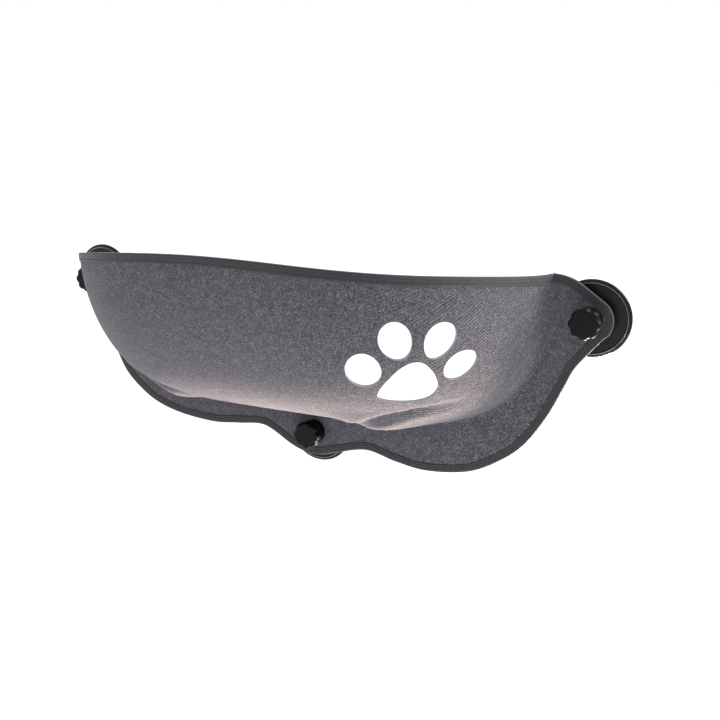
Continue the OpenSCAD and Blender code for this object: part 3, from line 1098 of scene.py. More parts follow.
    def _toe(self, long: float, wide: float, egg: float) -> list[tuple[float, float]]:
        """Return the outline of an egg-shaped toe.

        Args:
            long: Share of the mean length.
            wide: Share of the mean width.
            egg: How much wider the upper end is.

        Returns:
            The outline's points.
        """
        return [
            (wide * self.toe_w / 2 * math.cos(a) * (1 + egg * math.sin(a)),
             long * self.toe_l / 2 * math.sin(a))
            for a in np.radians(np.arange(0, 360, self.toe_step))
        ]

    def _main_pad(self) -> list[tuple[float, float]]:
        """Draw the main pad: a rounded triangle with two low lobes.

        Returns:
            The outline's points.
        """
        shares = (
            (0, 0.5), (0.16, 0.45), (0.325, 0.27), (0.42, 0.1), (0.5, -0.15), (0.415, -0.37),
            (0.21, -0.47), (-0.105, -0.5), (-0.36, -0.46), (-0.465, -0.35),
            (-0.45, -0.075), (-0.31, 0.26), (-0.16, 0.44),
        )
        guide = np.array([(x * self.pad_w, y * self.pad_l) for x, y in shares])
        out = []
        for k in range(len(guide)):
            near = [guide[(k + s) % len(guide)] for s in (-1, 0, 1, 2)]
            out += [tuple(spline_point(near, t)) for t in np.arange(self.pad_steps) / self.pad_steps]
        return out

    def _cutter(self) -> Object:
        """Make the prisms that cut the paw's four toes and main pad.

        Returns:
            One mesh with a closed prism for each hole.
        """
        # Share along the pod and up it, tilt in degrees, shares of the mean length and
        # width, and how much wider the upper end is
        toes = (
            (0.520, -0.249, -7.5, 1.132, 1.042, -0.03),
            (0.634, -0.013, -26.5, 1.077, 0.941, 0.066),
            (0.742, -0.036, 14.5, 0.940, 1.062, 0.13),
            (0.780, -0.252, 69.0, 0.930, 0.985, -0.07),
        )
        holes = [(self._on_wall(*toe[:3]), self._toe(*toe[3:])) for toe in toes]
        holes.append((self._on_wall(*self.pad_place_shares, self.pad_tilt), self._main_pad()))
        points, faces = [], []
        for place, outline in holes:
            n, first = len(outline), len(points)
            for depth in (-self.cut_depth / 2, self.cut_depth / 2):
                points += [tuple(place @ Vector((x, y, depth))) for x, y in outline]
            faces.append([first + k for k in reversed(range(n))])
            faces.append([first + n + k for k in range(n)])
            for k in range(n):
                m = (k + 1) % n
                faces.append([first + k, first + m, first + n + m, first + n + k])
        cutter = make_mesh_object("paw_cutter", np.array(points), faces)
        face_outwards(cutter)
        return cutter


@dataclass
class EdgeBinding:
    """Binding tape folded round the felt's edge and sewn through it."""

    plan: PerchPlan
    grid: SheetGrid
    fold_out: float = 1.1
    corner_bow: float = 1.3
    stitch_in: float = 5.3
    stitch_pitch: float = 3.4
    stitch_l: float = 2.5
    thread_d: float = 0.55
    stitch_sink: float = 0.22
    corner_steps: int = 8
    sharp_degrees: float = 50.0
    # The face's section: distance in from the tape's inner edge, from the stitch line and
    # from the felt's edge, each with the height over the tape's flat
    selvedge_mm: Pairs = ((0.15, -0.22), (0.5, 0.0), (1.4, 0.05))
    groove_mm: Pairs = (
        (0.4, -0.1), (0.0, -0.34), (-0.4, -0.1), (-0.7, 0.05))
    crown_mm: Pairs = (
        (3.6, 0.08), (3.0, -0.12), (2.4, 0.08), (1.0, 0.06))
    fold_pow: float = 0.8
    fold_degrees: tuple[int, ...] = (72, 50, 30, 12)
    # Loose threads at the rim's right end: number, how far they spread, and their sizes
    end_seed: int = 7
    end_count: int = 16
    end_spread: int = 34
    end_off_mm: float = 1.6
    end_lean: float = 0.35
    end_l_mm: tuple[float, float] = (1.6, 4.2)
    end_r_mm: float = 0.16
    end_side: tuple[float, float, float] = (0.3, 0.9, 0.1)

    def __post_init__(self) -> None:
        """Work out the path round the sheet's edge and the tape's section."""
        self.edge, self.inner, self.n_edge, self.n_inner = self._stations()
        self.profile = self._profile()

    def _stations(self) -> tuple[np.ndarray, ...]:
        """Return the path round the edge: rim from left to right, then back along the skirt.

        Returns:
            Edge points, inner points, and the sheet's normals at both.
        """
        plan, grid = self.plan, self.grid
        rim, count = grid.points[:, -1], grid.columns
        edge, inner, n_edge, n_inner = [], [], [], []
        for i in range(count + 1):
            before, after = rim[max(i - 1, 0)], rim[min(i + 1, count)]
            normal = grid.normals[i, -1]
            across = np.cross(normal, unit_rows(after - before))
            across = -across if across[2] > 0 else across
            q = grid.q[i]
            wall_h = rim[i][2] - plan.fold_z(q)
            mix = min(1.0, max(0.0, wall_h / plan.tape_w / 2 - 1))
            wall_in = plan.wall_point(q, plan.drop_angle(q, plan.tape_w))
            edge.append(rim[i])
            inner.append((rim[i] + unit_rows(across) * plan.tape_w) * (1 - mix) + wall_in * mix)
            n_edge.append(normal)
            n_inner.append(normal)
        skirt = grid.points[::-1, 0]
        path = self._corner(rim[-1], skirt[0])
        path += list(skirt)
        path += self._corner(skirt[-1], rim[0])
        path = np.array(path)
        whole = np.vstack([rim[-1], path, rim[0]])
        tangent = unit_rows(whole[2:] - whole[:-2])
        for at, along in zip(path, tangent):
            inward = np.array([along[2], 0.0, -along[0]])
            edge.append(at)
            inner.append(at + inward * plan.tape_w)
            n_edge.append(np.array([0.0, 1.0, 0.0]))
            n_inner.append(np.array([0.0, 1.0, 0.0]))
        return tuple(np.array(rows) for rows in (edge, inner, n_edge, n_inner))

    def _corner(self, start: np.ndarray, end: np.ndarray) -> list[np.ndarray]:
        """Return the points between a rim end and the skirt's end, bowed a little upwards.

        Args:
            start: The last point before the corner.
            end: The first point after it.

        Returns:
            The points between them.
        """
        bow = np.array([0.0, 0.0, self.corner_bow])
        return [start + (end - start) * t + bow * 4 * t * (1 - t)
                for t in np.arange(1, self.corner_steps) / self.corner_steps]

    def _profile(self) -> np.ndarray:
        """Draw the tape's section.

        Returns:
            Distance in from the edge and offset from the felt's middle, for each point.
        """
        plan = self.plan
        a = plan.felt_t / 2 + plan.tape_gap
        b, w = a + plan.tape_t, plan.tape_w
        face = [(w, a + plan.tape_gap)]
        face += [(w - d, b + h) for d, h in self.selvedge_mm]
        face += [(self.stitch_in + d, b + h) for d, h in self.groove_mm]
        face += [(d, b + h) for d, h in self.crown_mm]
        outer = face + [
            (-self.fold_out * math.cos(t) ** self.fold_pow, b * math.sin(t))
            for t in np.radians(self.fold_degrees)
        ]
        mirrored = [(d, -h) for d, h in reversed(outer)]
        inner = [(w, -a), (-plan.tape_gap, -a), (-plan.tape_gap, a), (w, a)]
        return np.array(outer + [(-self.fold_out, 0.0)] + mirrored + inner)

    def build(self, tape: Material, thread: Material) -> list[Object]:
        """Build the tape, its two stitch lines and the loose ends at its join.

        Args:
            tape: Tape material.
            thread: Thread material.

        Returns:
            The pieces.
        """
        edge, inner = self.edge[:, None], self.inner[:, None]
        share = (self.profile[:, 0] / self.plan.tape_w)[None, :, None]
        facing = self.n_edge[:, None] * (1 - share) + self.n_inner[:, None] * share
        points = edge + (inner - edge) * share + facing * self.profile[None, :, 1, None]
        count, ring = len(self.edge), len(self.profile)
        faces = [
            [k * ring + j, ((k + 1) % count) * ring + j,
             ((k + 1) % count) * ring + (j + 1) % ring, k * ring + (j + 1) % ring]
            for k in range(count) for j in range(ring)
        ]
        band = make_mesh_object(
            "edge_binding", points.reshape(-1, 3), faces, Shading.BY_ANGLE, self.sharp_degrees)
        self._map_tape(band)
        face_outwards(band)
        band.data.materials.append(tape)
        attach(band, "cradle")
        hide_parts("edge_tape")
        return [band, self._stitches(thread), self._loose_ends(thread)]

    def _map_tape(self, band: Object) -> None:
        """Give the tape a map that runs along it and across it.

        Args:
            band: Tape mesh, made ring by ring.
        """
        count, ring = len(self.edge), len(self.profile)
        run = running_lengths(np.vstack([self.edge, self.edge[:1]]))
        across = running_lengths(self.profile)
        loops = band.data.uv_layers.new(name="cloth").data
        for polygon in band.data.polygons:
            numbers = [band.data.loops[k].vertex_index for k in polygon.loop_indices]
            wraps = len({n // ring for n in numbers} & {0, count - 1}) == 2
            for k, n in zip(polygon.loop_indices, numbers):
                row = count if wraps and n // ring == 0 else n // ring
                loops[k].uv = (run[row] * MM, across[n % ring] * MM)

    def _stitches(self, thread: Material) -> Object:
        """Build both lines of stitches with geometry nodes.

        Args:
            thread: Thread material.

        Returns:
            One mesh with every stitch.
        """
        plan = self.plan
        share = self.stitch_in / plan.tape_w
        level = plan.felt_t / 2 + plan.tape_gap + plan.tape_t - self.stitch_sink
        points, edges, facing = [], [], []
        for way in (1, -1):
            first = len(points)
            line = self.edge + (self.inner - self.edge) * share + self.n_edge * level * way
            points += list(line)
            facing += list(self.n_edge * way)
            edges += [(first + k, first + (k + 1) % len(line)) for k in range(len(line))]
        mesh = bpy.data.meshes.new("binding_stitches")
        mesh.from_pydata((np.array(points) * MM).tolist(), edges, [])
        attribute = mesh.attributes.new("facing", "FLOAT_VECTOR", "POINT")
        attribute.data.foreach_set("vector", np.array(facing, np.float32).ravel())
        stitches = bpy.data.objects.new("binding_stitches", mesh)
        bpy.context.scene.collection.objects.link(stitches)
        repeat_along(
            stitches, pitch=self.stitch_pitch * MM, length=self.stitch_l * MM,
            width=self.thread_d * MM, finish=thread)
        shade(stitches, Shading.SMOOTH)
        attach(stitches, "cradle")
        return stitches

    def _loose_ends(self, thread: Material) -> Object:
        """Build the frayed thread ends where the tape turns at the right end of the rim.

        Args:
            thread: Thread material.

        Returns:
            One mesh of thin bent threads.
        """
        chance = np.random.default_rng(self.end_seed)
        points: list[np.ndarray] = []
        faces: list[list[int]] = []
        corner = self.grid.columns
        for _ in range(self.end_count):
            k = corner - int(chance.integers(0, self.end_spread))
            off = chance.uniform(-self.end_off_mm, self.end_off_mm)
            root = self.edge[k] + self.n_edge[k] * off
            rise = unit_rows(self.edge[k] - self.inner[k])
            lean = chance.normal(0, self.end_lean, 3)
            length = chance.uniform(*self.end_l_mm)
            side_a = unit_rows(np.cross(rise, self.end_side))
            side_b = unit_rows(np.cross(rise, side_a))
            first = len(points)
            for t in (0.0, 0.5, 1.0):
                centre = root + (rise + lean * t) * (length * t)
                r = self.end_r_mm * (1 - t / 2)
                for turn in (0, 90, 180, 270):
                    a = math.radians(turn)
                    points.append(centre + (side_a * math.cos(a) + side_b * math.sin(a)) * r)
            for row in (0, 4):
                for s in range(4):
                    m = (s + 1) % 4
                    faces.append([first + row + s, first + row + m,
                                  first + row + 4 + m, first + row + 4 + s])
            faces.append([first + k for k in (3, 2, 1, 0)])
            faces.append([first + k for k in (8, 9, 10, 11)])
        ends = make_mesh_object("loose_thread_ends", np.array(points), faces)
        face_outwards(ends)
        ends.data.materials.append(thread)
        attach(ends, "cradle")
        return ends


def repeat_along(
    path: Object, pitch: float, length: float, width: float, finish: Material
) -> None:
    """Lay short threads along a path with geometry nodes, and keep the plain mesh.

    Args:
        path: Object whose edges are the path, with the attribute facing.
        pitch: Distance from one thread to the next, in metres.
        length: Length of a thread.
        width: Thickness of a thread.
        finish: Thread material.
    """
    tree = bpy.data.node_groups.new("stitch_line", "GeometryNodeTree")
    tree.interface.new_socket("Geometry", in_out="INPUT", socket_type="NodeSocketGeometry")
    tree.interface.new_socket("Geometry", in_out="OUTPUT", socket_type="NodeSocketGeometry")
    sizes = {"Pitch": pitch, "Length": length, "Width": width}
    sockets = {
        name: tree.interface.new_socket(name, in_out="INPUT", socket_type="NodeSocketFloat")
        for name in sizes
    }
    start = add_node(tree, "NodeGroupInput")
    curve = add_node(tree, "GeometryNodeMeshToCurve", {"Mesh": start.outputs["Geometry"]})
    facing = add_node(tree, "GeometryNodeInputNamedAttribute", {"Name": "facing"},
                      data_type="FLOAT_VECTOR")
    spaced = add_node(
        tree, "GeometryNodeCurveToPoints",
        {"Curve": curve.outputs["Curve"], "Length": start.outputs["Pitch"]}, mode="LENGTH")
    along = add_node(
        tree, "FunctionNodeAlignEulerToVector",
        {"Vector": spaced.outputs["Tangent"]}, axis="X")
    upright = add_node(
        tree, "FunctionNodeAlignEulerToVector",
        {"Rotation": along.outputs["Rotation"], "Vector": facing.outputs["Attribute"]},
        axis="Z", pivot_axis="X")
    bead = add_node(
        tree, "GeometryNodeMeshUVSphere", {"Segments": 6, "Rings": 5, "Radius": 0.5})
    size = add_node(
        tree, "ShaderNodeCombineXYZ",
        {"X": start.outputs["Length"], "Y": start.outputs["Width"], "Z": start.outputs["Width"]})
    laid = add_node(
        tree, "GeometryNodeInstanceOnPoints",
        {"Points": spaced.outputs["Points"], "Instance": bead.outputs["Mesh"],
         "Rotation": upright.outputs["Rotation"], "Scale": size.outputs["Vector"]})
    real = add_node(tree, "GeometryNodeRealizeInstances", {"Geometry": laid.outputs["Instances"]})
    dressed = add_node(
        tree, "GeometryNodeSetMaterial",
        {"Geometry": real.outputs["Geometry"], "Material": finish})
    add_node(tree, "NodeGroupOutput", {"Geometry": dressed.outputs["Geometry"]})
    modifier = path.modifiers.new("stitch_line", "NODES")
    modifier.node_group = tree
    for name, value in sizes.items():
        modifier[sockets[name].identifier] = value
    baked(path)


def ring_surface(rings: Sequence[tuple[np.ndarray, float]], closed_ends: bool = True) -> Surface:
    """Join rings of points about an axis into a closed surface.

    Args:
        rings: For each ring, its radii round the axis and its height.
        closed_ends: Whether the first and last ring get a point in their middle.

    Returns:
        Points and faces, about the Z axis.
    """
    count = len(rings[0][0])
    turn = np.arange(count) * 2 * math.pi / count
    points = [
        np.stack([radii * np.cos(turn), radii * np.sin(turn), np.full(count, z)], axis=1)
        for radii, z in rings
    ]
    faces = []
    for k in range(len(rings) - 1):
        for j in range(count):
            m = (j + 1) % count
            faces.append([k * count + j, k * count + m, (k + 1) * count + m, (k + 1) * count + j])
    stacked = np.vstack(points)
    if closed_ends:
        ends = [(0, rings[0][1]), (len(rings) - 1, rings[-1][1])]
        for order, (k, z) in enumerate(ends):
            middle = len(stacked)
            stacked = np.vstack([stacked, [0.0, 0.0, z]])
            for j in range(count):
                pair = [k * count + j, k * count + (j + 1) % count]
                faces.append([middle, *(reversed(pair) if order == 0 else pair)])
    return stacked, faces


def turned(profile: Sequence[tuple[float, float]], count: int = 128) -> Surface:
    """Turn a closed outline of radius and height about the axis.

    Args:
        profile: Outline as radius and height; a radius of zero lies on the axis.
        count: Number of steps round.

    Returns:
        Points and faces of the surface.
    """
    rings = [(np.full(count, max(r, 0.0)), z) for r, z in profile]
    on_axis = profile[0][0] <= 0 and profile[-1][0] <= 0
    if on_axis:
        return ring_surface(rings[1:-1])
    return ring_surface([*rings, rings[0]], False)


def rounded(
    corners: Sequence[tuple[float, float, float]], steps: int = 4
) -> list[tuple[float, float]]:
    """Round the corners of an open outline.

    Args:
        corners: Radius, height and rounding of each corner.
        steps: Pieces in each rounding.

    Returns:
        The outline's points.
    """
    out: list[tuple[float, float]] = []
    for k, (x, z, r) in enumerate(corners):
        at = np.array([x, z])
        if r <= 0 or k in (0, len(corners) - 1):
            out.append((x, z))
            continue
        back = np.array(corners[k - 1][:2]) - at
        ahead = np.array(corners[k + 1][:2]) - at
        reach = min(r, *(np.linalg.norm(way) * REACH_SHARE for way in (back, ahead)))
        a = at + back / np.linalg.norm(back) * reach
        b = at + ahead / np.linalg.norm(ahead) * reach
        for t in np.linspace(0, 1, steps + 1):
            p = a * (1 - t) ** 2 + at * 2 * t * (1 - t) + b * t * t
            out.append((float(p[0]), float(p[1])))
    return out


@dataclass
class GlassMount:
    """One suction cup with its shell, stud, collar and screw knob."""

    plan: PerchPlan
    side: Side
    cup_d: float = 76.0
    bead_t: float = 5.0
    seal_w: float = 3.0
    hollow_h: float = 2.0
    shell_t: float = 1.6
    boss_d: float = 24.0
    rib_w: float = 4.0
    stud_d: float = 8.0
    head_d: float = 18.0
    head_t: float = 1.5
    collar_t: float = 10.0
    knob_d: float = 30.5
    knob_t: float = 12.0
    knob_lobes: int = 8
    nut_d: float = 15.0
    nut_t: float = 6.5
    stud_over: float = 1.5
    blind_gap: float = 0.5
    run_clear: float = 0.08
    pitch: float = 1.25
    lip_in: float = 1.3
    lip_r: float = 0.75
    lip_sink: float = 0.05
    # The pad's hollow: run of its slope and the share of its height at the slope's top
    hollow_run: float = 10.0
    hollow_share: float = 0.75
    bead_degrees: tuple[int, int, int] = (-75, 112, 12)
    seat_drop: float = 0.5
    # The shell's face: share of the dish at its step, and drops from the pad's top
    step_share: float = 0.93
    step_run: float = 4.0
    step_drop: float = 0.6
    face_drop: float = 0.8
    # Roundings of the shell from its bore outwards and back in to the boss
    shell_rounds: tuple[float, ...] = (0.0, 0.1, 0.1, 0.1, 0.2, 1.2, 2.0, 2.5, 1.5, 0.5, 0.0)
    collar_rounds: tuple[float, ...] = (0.0, 0.4, 0.9, 0.0)
    # The stud: steps round, thread depth and run-out, bevels and turns of the drawn thread
    stud_steps: int = 36
    head_bevel: float = 0.3
    thread_depth: float = 0.45
    thread_start: float = 0.8
    thread_crest: float = 1.15
    thread_rings: int = 6
    tip_l: float = 0.9
    tip_in: tuple[float, float] = (0.1, 1.0)
    # The knob: scallops as shares of its width and of their own size, then its edges as
    # distance in and distance from the back or the front
    knob_steps: int = 192
    bite_share: float = 0.17
    bite_out_share: float = 0.69
    soft_shares: tuple[int, ...] = (1, 2, 3, 2, 1)
    back_r: float = 9.5
    back_edge: Pairs = ((1.1, 0.0), (0.3, 0.25), (0.0, 1.0), (0.0, 4.5))
    front_edge: Pairs = (
        (0.0, 2.6), (0.25, 1.6), (0.8, 0.8), (1.4, 0.25), (2.0, 0.04), (2.8, 0.0))
    front_r: tuple[float, float] = (8.0, 4.0)
    merge_mm: float = 0.005

    @property
    def seat_z(self) -> float:
        """Distance of the pad's flat back from the glass."""
        return self.bead_t - self.shell_t

    @property
    def collar_z(self) -> float:
        """Distance of the collar's back from the glass."""
        return self.plan.felt_gap + self.plan.felt_t

    @property
    def knob_z(self) -> float:
        """Distance of the knob's back from the glass."""
        return self.collar_z + self.collar_t

    def _set(
        self, name: str, made: Surface, body: str,
        node: str | None, slot: str, finish: Material, sharp: float = 40.0,
    ) -> Object:
        """Put a piece drawn about the stud's axis in its place on the glass.

        Args:
            name: Name of the piece, after its side.
            made: Points and faces about the Z axis, with z as distance from the glass.
            body: Body that the piece rides on, after its side.
            node: Node that it stands for, after its side; None for an added detail.
            slot: Material slot of the record; not used.
            finish: Material.
            sharp: Angle past which an edge stays sharp.

        Returns:
            The finished piece.
        """
        points, faces = made
        spun = np.stack([points[:, 0], -points[:, 2], points[:, 1]], axis=1)
        piece = make_mesh_object(
            f"{self.side.value}_{name}", spun + self.plan.place(self.side), faces)
        face_outwards(piece, self.merge_mm)
        shade(piece, Shading.BY_ANGLE, sharp)
        piece.data.materials.append(finish)
        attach(piece, f"{self.side.value}_{body}")
        if node:
            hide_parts(f"{self.side.value}_{node}")
        return piece

    def build(self, finishes: Finishes) -> list[Object]:
        """Build the mount's pieces and dress its nut.

        Args:
            finishes: The perch's materials.

        Returns:
            The pieces.
        """
        nut = bpy.data.objects[f"{self.side.value}_knob_nut"]
        nut.data.materials.clear()
        nut.data.materials.append(finishes.brass)
        # Name, surface, body, node, slot and finish, then the sharp angle where not 40
        made = (
            ("rubber_cup", self.pad(), "cup", "suction_pad", "pad_rubber", finishes.rubber),
            ("cup_lip", self.lip(), "cup", None, "pad_rubber", finishes.lip),
            ("cup_backing", self.shell(), "cup", "pad_shell", "shell_plastic", finishes.shell),
            ("threaded_stud", self.stud(), "cup", "stud", "stud_steel", finishes.steel, 60.0),
            ("knob_collar", self.collar(), "clamp", "collar", "collar_plastic", finishes.knob),
            ("screw_knob", self.knob(), "turn_knob", "knob", "knob_plastic", finishes.knob, 55.0),
        )
        return [self._set(*piece) for piece in made]

    def pad(self) -> Surface:
        """Draw the rubber pad: sealing ring, hollow, bead and flat back.

        Returns:
            Its surface about the Z axis.
        """
        r, bead = self.cup_d / 2, self.bead_t / 2
        inner, dish = r - bead - self.seal_w, r - self.bead_t
        outline = [
            (0.0, self.hollow_h), (inner - self.hollow_run, self.hollow_h * self.hollow_share),
            (inner, 0.0), (r - bead, 0.0)]
        for t in np.radians(np.arange(*self.bead_degrees)):
            outline.append((r - bead + bead * math.cos(t), bead + bead * math.sin(t)))
        outline += [(dish, self.bead_t - self.seat_drop), (dish, self.seat_z), (0.0, self.seat_z)]
        return turned(outline)

    def lip(self) -> Surface:
        """Draw the thin polished lip on the pad's bead.

        Returns:
            Its surface about the Z axis.
        """
        r, z = self.cup_d / 2 - self.bead_t + self.lip_in, self.bead_t - self.lip_sink
        around = np.radians(np.arange(0, 360, 30))
        return turned([
            (r + self.lip_r * math.cos(t), z + self.lip_r * math.sin(t)) for t in around])

    def shell(self) -> Surface:
        """Draw the hard shell: rim, step, dish and boss.

        Returns:
            Its surface about the Z axis.
        """
        dish, top = self.cup_d / 2 - self.bead_t, self.bead_t
        seat, head = self.seat_z, self.seat_z + self.head_t
        step, face = dish * self.step_share, top - self.face_drop
        boss, end = self.boss_d / 2, self.plan.felt_gap
        corners = (
            (self.stud_d / 2, head), (self.head_d / 2, head), (self.head_d / 2, seat),
            (dish, seat), (dish, top - self.seat_drop), (step, top - self.step_drop),
            (step - self.step_run, face), (boss + self.rib_w, face), (boss, face + self.rib_w),
            (boss, end), (self.stud_d / 2, end),
        )
        return turned(rounded([(*at, r) for at, r in zip(corners, self.shell_rounds)]))

    def stud(self) -> Surface:
        """Draw the stud with its flat head and a rolled thread.

        Returns:
            Its surface about the Z axis.
        """
        count, r, head = self.stud_steps, self.stud_d / 2, self.head_d / 2
        turn = np.arange(count) / count
        shoulder = self.seat_z + self.head_t
        end = self.knob_z + self.nut_t + self.stud_over
        start, tip = shoulder + self.thread_start, end - self.tip_l
        rings = [
            (np.full(count, head - self.head_bevel), self.seat_z),
            (np.full(count, head), self.seat_z + self.head_bevel),
            (np.full(count, head), shoulder), (np.full(count, r), shoulder)]
        for z in np.arange(start, tip, self.pitch / self.thread_rings):
            wave = np.abs(((z / self.pitch - turn) % 1.0) * 2 - 1)
            fade = min(1.0, (z - start) / self.pitch, (tip - z) / self.pitch)
            groove = 1 - np.clip(wave * self.thread_crest, 0, 1)
            rings.append((r - self.thread_depth * fade * groove, z))
        rings += [(np.full(count, r - d), z) for d, z in zip(self.tip_in, (tip, end))]
        return ring_surface(rings)

    def collar(self) -> Surface:
        """Draw the round collar under the knob.

        Returns:
            Its surface about the Z axis.
        """
        r = self.plan.tab_r - self.plan.tape_w - self.plan.collar_room
        bore = self.stud_d / 2 + self.run_clear
        corners = (
            (bore, self.collar_z), (r, self.collar_z), (r, self.knob_z), (bore, self.knob_z))
        return turned(rounded([(*at, by) for at, by in zip(corners, self.collar_rounds)]))

    def knob(self) -> Surface:
        """Draw the knob: scalloped side, flat face, nut pocket and blind bore.

        Returns:
            Its surface about the Z axis.
        """
        count, r = self.knob_steps, self.knob_d / 2
        turn = np.arange(count) * 2 * math.pi / count
        bite = self.knob_d * self.bite_share
        away = r + bite * self.bite_out_share
        step = 2 * math.pi / self.knob_lobes
        off = (turn % step) - step / 2
        inside = bite**2 - (away * np.sin(off)) ** 2
        edge = np.where(inside > 0, away * np.cos(off) - np.sqrt(np.maximum(inside, 0)), r)
        edge = np.minimum(edge, r)
        # The scallops' crests are softened by a running mean
        shares = np.array(self.soft_shares) / sum(self.soft_shares)
        reach = len(shares) // 2
        soft = sum(w * np.roll(edge, k - reach) for k, w in enumerate(shares))
        hexagon = self.nut_d / 2 * math.cos(math.pi / 6) / np.cos(
            (turn % (math.pi / 3)) - math.pi / 6)
        z, top = self.knob_z, self.knob_z + self.knob_t
        bore = self.stud_d / 2 + self.run_clear
        blind = z + self.nut_t + self.stud_over + self.blind_gap
        rings = [
            (np.full(count, bore), blind), (np.full(count, bore), z + self.nut_t),
            (hexagon, z + self.nut_t), (hexagon, z), (np.full(count, self.back_r), z),
        ]
        rings += [(soft - d, z + up) for d, up in self.back_edge]
        rings += [(soft - d, top - down) for d, down in self.front_edge]
        rings += [(np.full(count, radius), top) for radius in self.front_r]
        return ring_surface(rings)


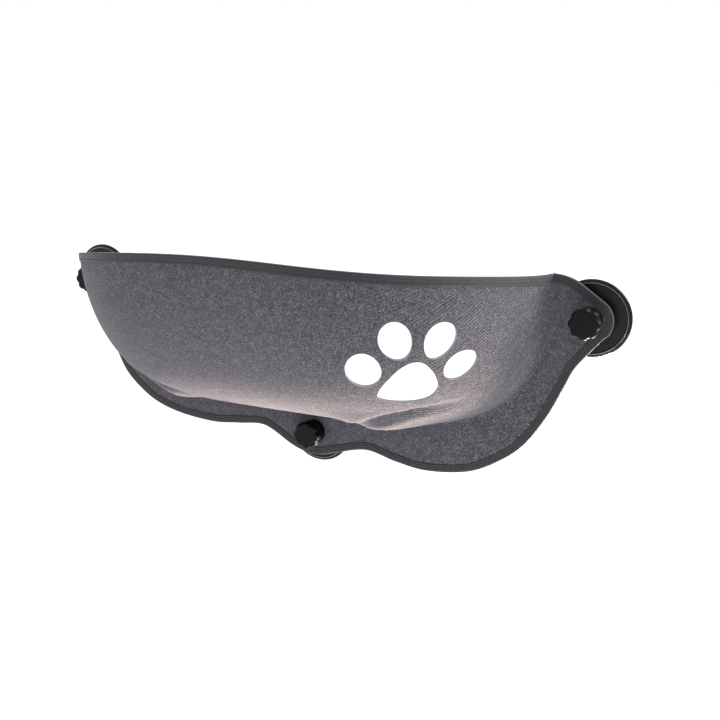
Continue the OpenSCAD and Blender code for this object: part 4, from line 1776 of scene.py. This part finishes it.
@dataclass
class Studio:
    """Camera, soft lamps and a plain pale floor."""

    eye_mm: tuple[float, float, float] = (494.327, -904.21, 183.067)
    yaw: float = -0.458
    pitch: float = -0.245
    focal_px: float = 956.936
    frame_px: float = 720.0
    sensor_mm: float = 36.0
    far_m: float = 50.0
    fill_colour: str = "#fdfdff"
    fill_strength: float = 0.68
    floor_z_mm: float = -760.0
    floor_half_mm: float = 14000.0
    floor_colour: str = "#d8d8d8"
    floor_glow: float = 0.78

    def build(self) -> None:
        """Set the whole studio up."""
        self._camera()
        self._lamps()
        self._world()
        self._floor()
        view = bpy.context.scene.view_settings
        view.view_transform = "Standard"

    def _camera(self) -> None:
        """Place the camera at the photograph's viewing angle."""
        data = bpy.data.cameras.new("studio_camera")
        data.sensor_width = self.sensor_mm
        data.sensor_fit = "HORIZONTAL"
        data.lens = data.sensor_width * self.focal_px / self.frame_px
        data.clip_end = self.far_m
        camera = bpy.data.objects.new("studio_camera", data)
        bpy.context.scene.collection.objects.link(camera)
        forward = Vector((
            math.sin(self.yaw) * math.cos(self.pitch),
            math.cos(self.yaw) * math.cos(self.pitch),
            math.sin(self.pitch),
        ))
        right = Vector((math.cos(self.yaw), -math.sin(self.yaw), 0.0))
        up = right.cross(forward)
        turn = Matrix((right, up, -forward)).transposed().to_4x4()
        camera.matrix_world = Matrix.Translation(Vector(self.eye_mm) * MM) @ turn
        bpy.context.scene.camera = camera

    def _lamp(
        self, name: str, at: tuple[float, float, float], aim: tuple[float, float, float],
        size: float, watts: float, colour: str,
    ) -> None:
        """Add a square soft lamp.

        Args:
            name: Name of the lamp.
            at: Its place in metres.
            aim: The point that it faces.
            size: Length of its side in metres.
            watts: Its power.
            colour: sRGB hex colour of its light.
        """
        data = bpy.data.lights.new(name, "AREA")
        data.size = size
        data.energy = watts
        data.color = linear(colour)[:3]
        lamp = bpy.data.objects.new(name, data)
        bpy.context.scene.collection.objects.link(lamp)
        lamp.location = at
        way = Vector(aim) - Vector(at)
        lamp.rotation_mode = "QUATERNION"
        lamp.rotation_quaternion = way.to_track_quat("-Z", "Y")

    def _lamps(self) -> None:
        """Light the perch from behind and above, and warmly from below the window."""
        # Name, place and aim in metres, side in metres, watts and colour of each lamp
        lamps = (
            ("window_light", (1.0, 0.55, 0.65), (0.25, 0.0, 0.0), 0.5, 12.0, "#ffffff"),
            ("sill_bounce", (0.36, 0.30, -0.50), (0.17, -0.12, -0.10), 0.16, 16.0, "#ffe4d4"),
            ("flank_bounce", (0.80, 0.16, -0.46), (0.20, -0.12, -0.06), 0.2, 1.5, "#fff0e6"),
            ("low_fill", (0.30, -0.50, -0.80), (0.05, -0.05, -0.12), 0.5, 7.0, "#f2f4ff"),
            ("left_bounce", (-0.75, -0.50, -0.55), (-0.15, -0.12, -0.05), 0.35, 0.5, "#ff9c78"),
        )
        for lamp in lamps:
            self._lamp(*lamp)

    def _world(self) -> None:
        """Fill softly from all round, with a white background."""
        world = bpy.data.worlds.new("studio_world")
        bpy.context.scene.world = world
        world.use_nodes = True
        tree = world.node_tree
        tree.nodes.clear()
        seen = background_rays(tree)
        fill = add_node(
            tree, "ShaderNodeBackground",
            {"Color": linear(self.fill_colour), "Strength": self.fill_strength})
        white = add_node(
            tree, "ShaderNodeBackground", {"Color": linear("#ffffff"), "Strength": 1.0})
        mix = add_node(
            tree, "ShaderNodeMixShader", {0: seen, 1: fill.outputs[0], 2: white.outputs[0]})
        add_node(tree, "ShaderNodeOutputWorld", {"Surface": mix.outputs[0]})

    def _floor(self) -> None:
        """Lay a plain white floor well below the perch, which keeps its shadow."""
        half = self.floor_half_mm
        corners = np.array([
            (x * half, y * half, self.floor_z_mm) for x, y in ((-1, -1), (1, -1), (1, 1), (-1, 1))])
        floor = make_mesh_object("studio_floor", corners, [[0, 1, 2, 3]])
        material = bpy.data.materials.new("matt_white_floor")
        material.use_nodes = True
        tree = material.node_tree
        tree.nodes.clear()
        seen = background_rays(tree)
        matt = add_node(tree, "ShaderNodeBsdfDiffuse", {"Color": linear(self.floor_colour)})
        glow = add_node(
            tree, "ShaderNodeEmission", {"Color": linear("#ffffff"), "Strength": self.floor_glow})
        both = add_node(tree, "ShaderNodeAddShader", {0: matt.outputs[0], 1: glow.outputs[0]})
        mix = add_node(
            tree, "ShaderNodeMixShader", {0: seen, 1: matt.outputs[0], 2: both.outputs[0]})
        add_node(tree, "ShaderNodeOutputMaterial", {"Surface": mix.outputs[0]})
        floor.data.materials.append(material)


def background_rays(tree: bpy.types.NodeTree) -> Socket:
    """Tell the rays that show the background from those that light the perch.

    Args:
        tree: Node tree of the world or of the floor.

    Returns:
        A socket that is one for what the camera sees straight, mirrored or through glass.
    """
    rays = add_node(tree, "ShaderNodeLightPath").outputs
    seen = rays["Is Camera Ray"]
    for kind in ("Is Glossy Ray", "Is Transmission Ray"):
        seen = add_node(
            tree, "ShaderNodeMath", {0: seen, 1: rays[kind]}, operation="MAXIMUM").outputs[0]
    return seen


def main() -> None:
    """Build the perch's looks round its frame."""
    logging.basicConfig(level=logging.INFO, format="%(message)s")
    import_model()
    Studio().build()
    finishes = Finishes()
    plan = PerchPlan()
    grid = SheetGrid(plan)
    pieces = [FeltSheet(plan, grid).build(finishes.felt)]
    pieces += EdgeBinding(plan, grid).build(finishes.tape, finishes.thread)
    for side in Side:
        pieces += GlassMount(plan, side).build(finishes)
    for piece in pieces:
        LOG.info("%s: %d faces", piece.name, len(piece.data.polygons))


if __name__ == "__main__":
    main()
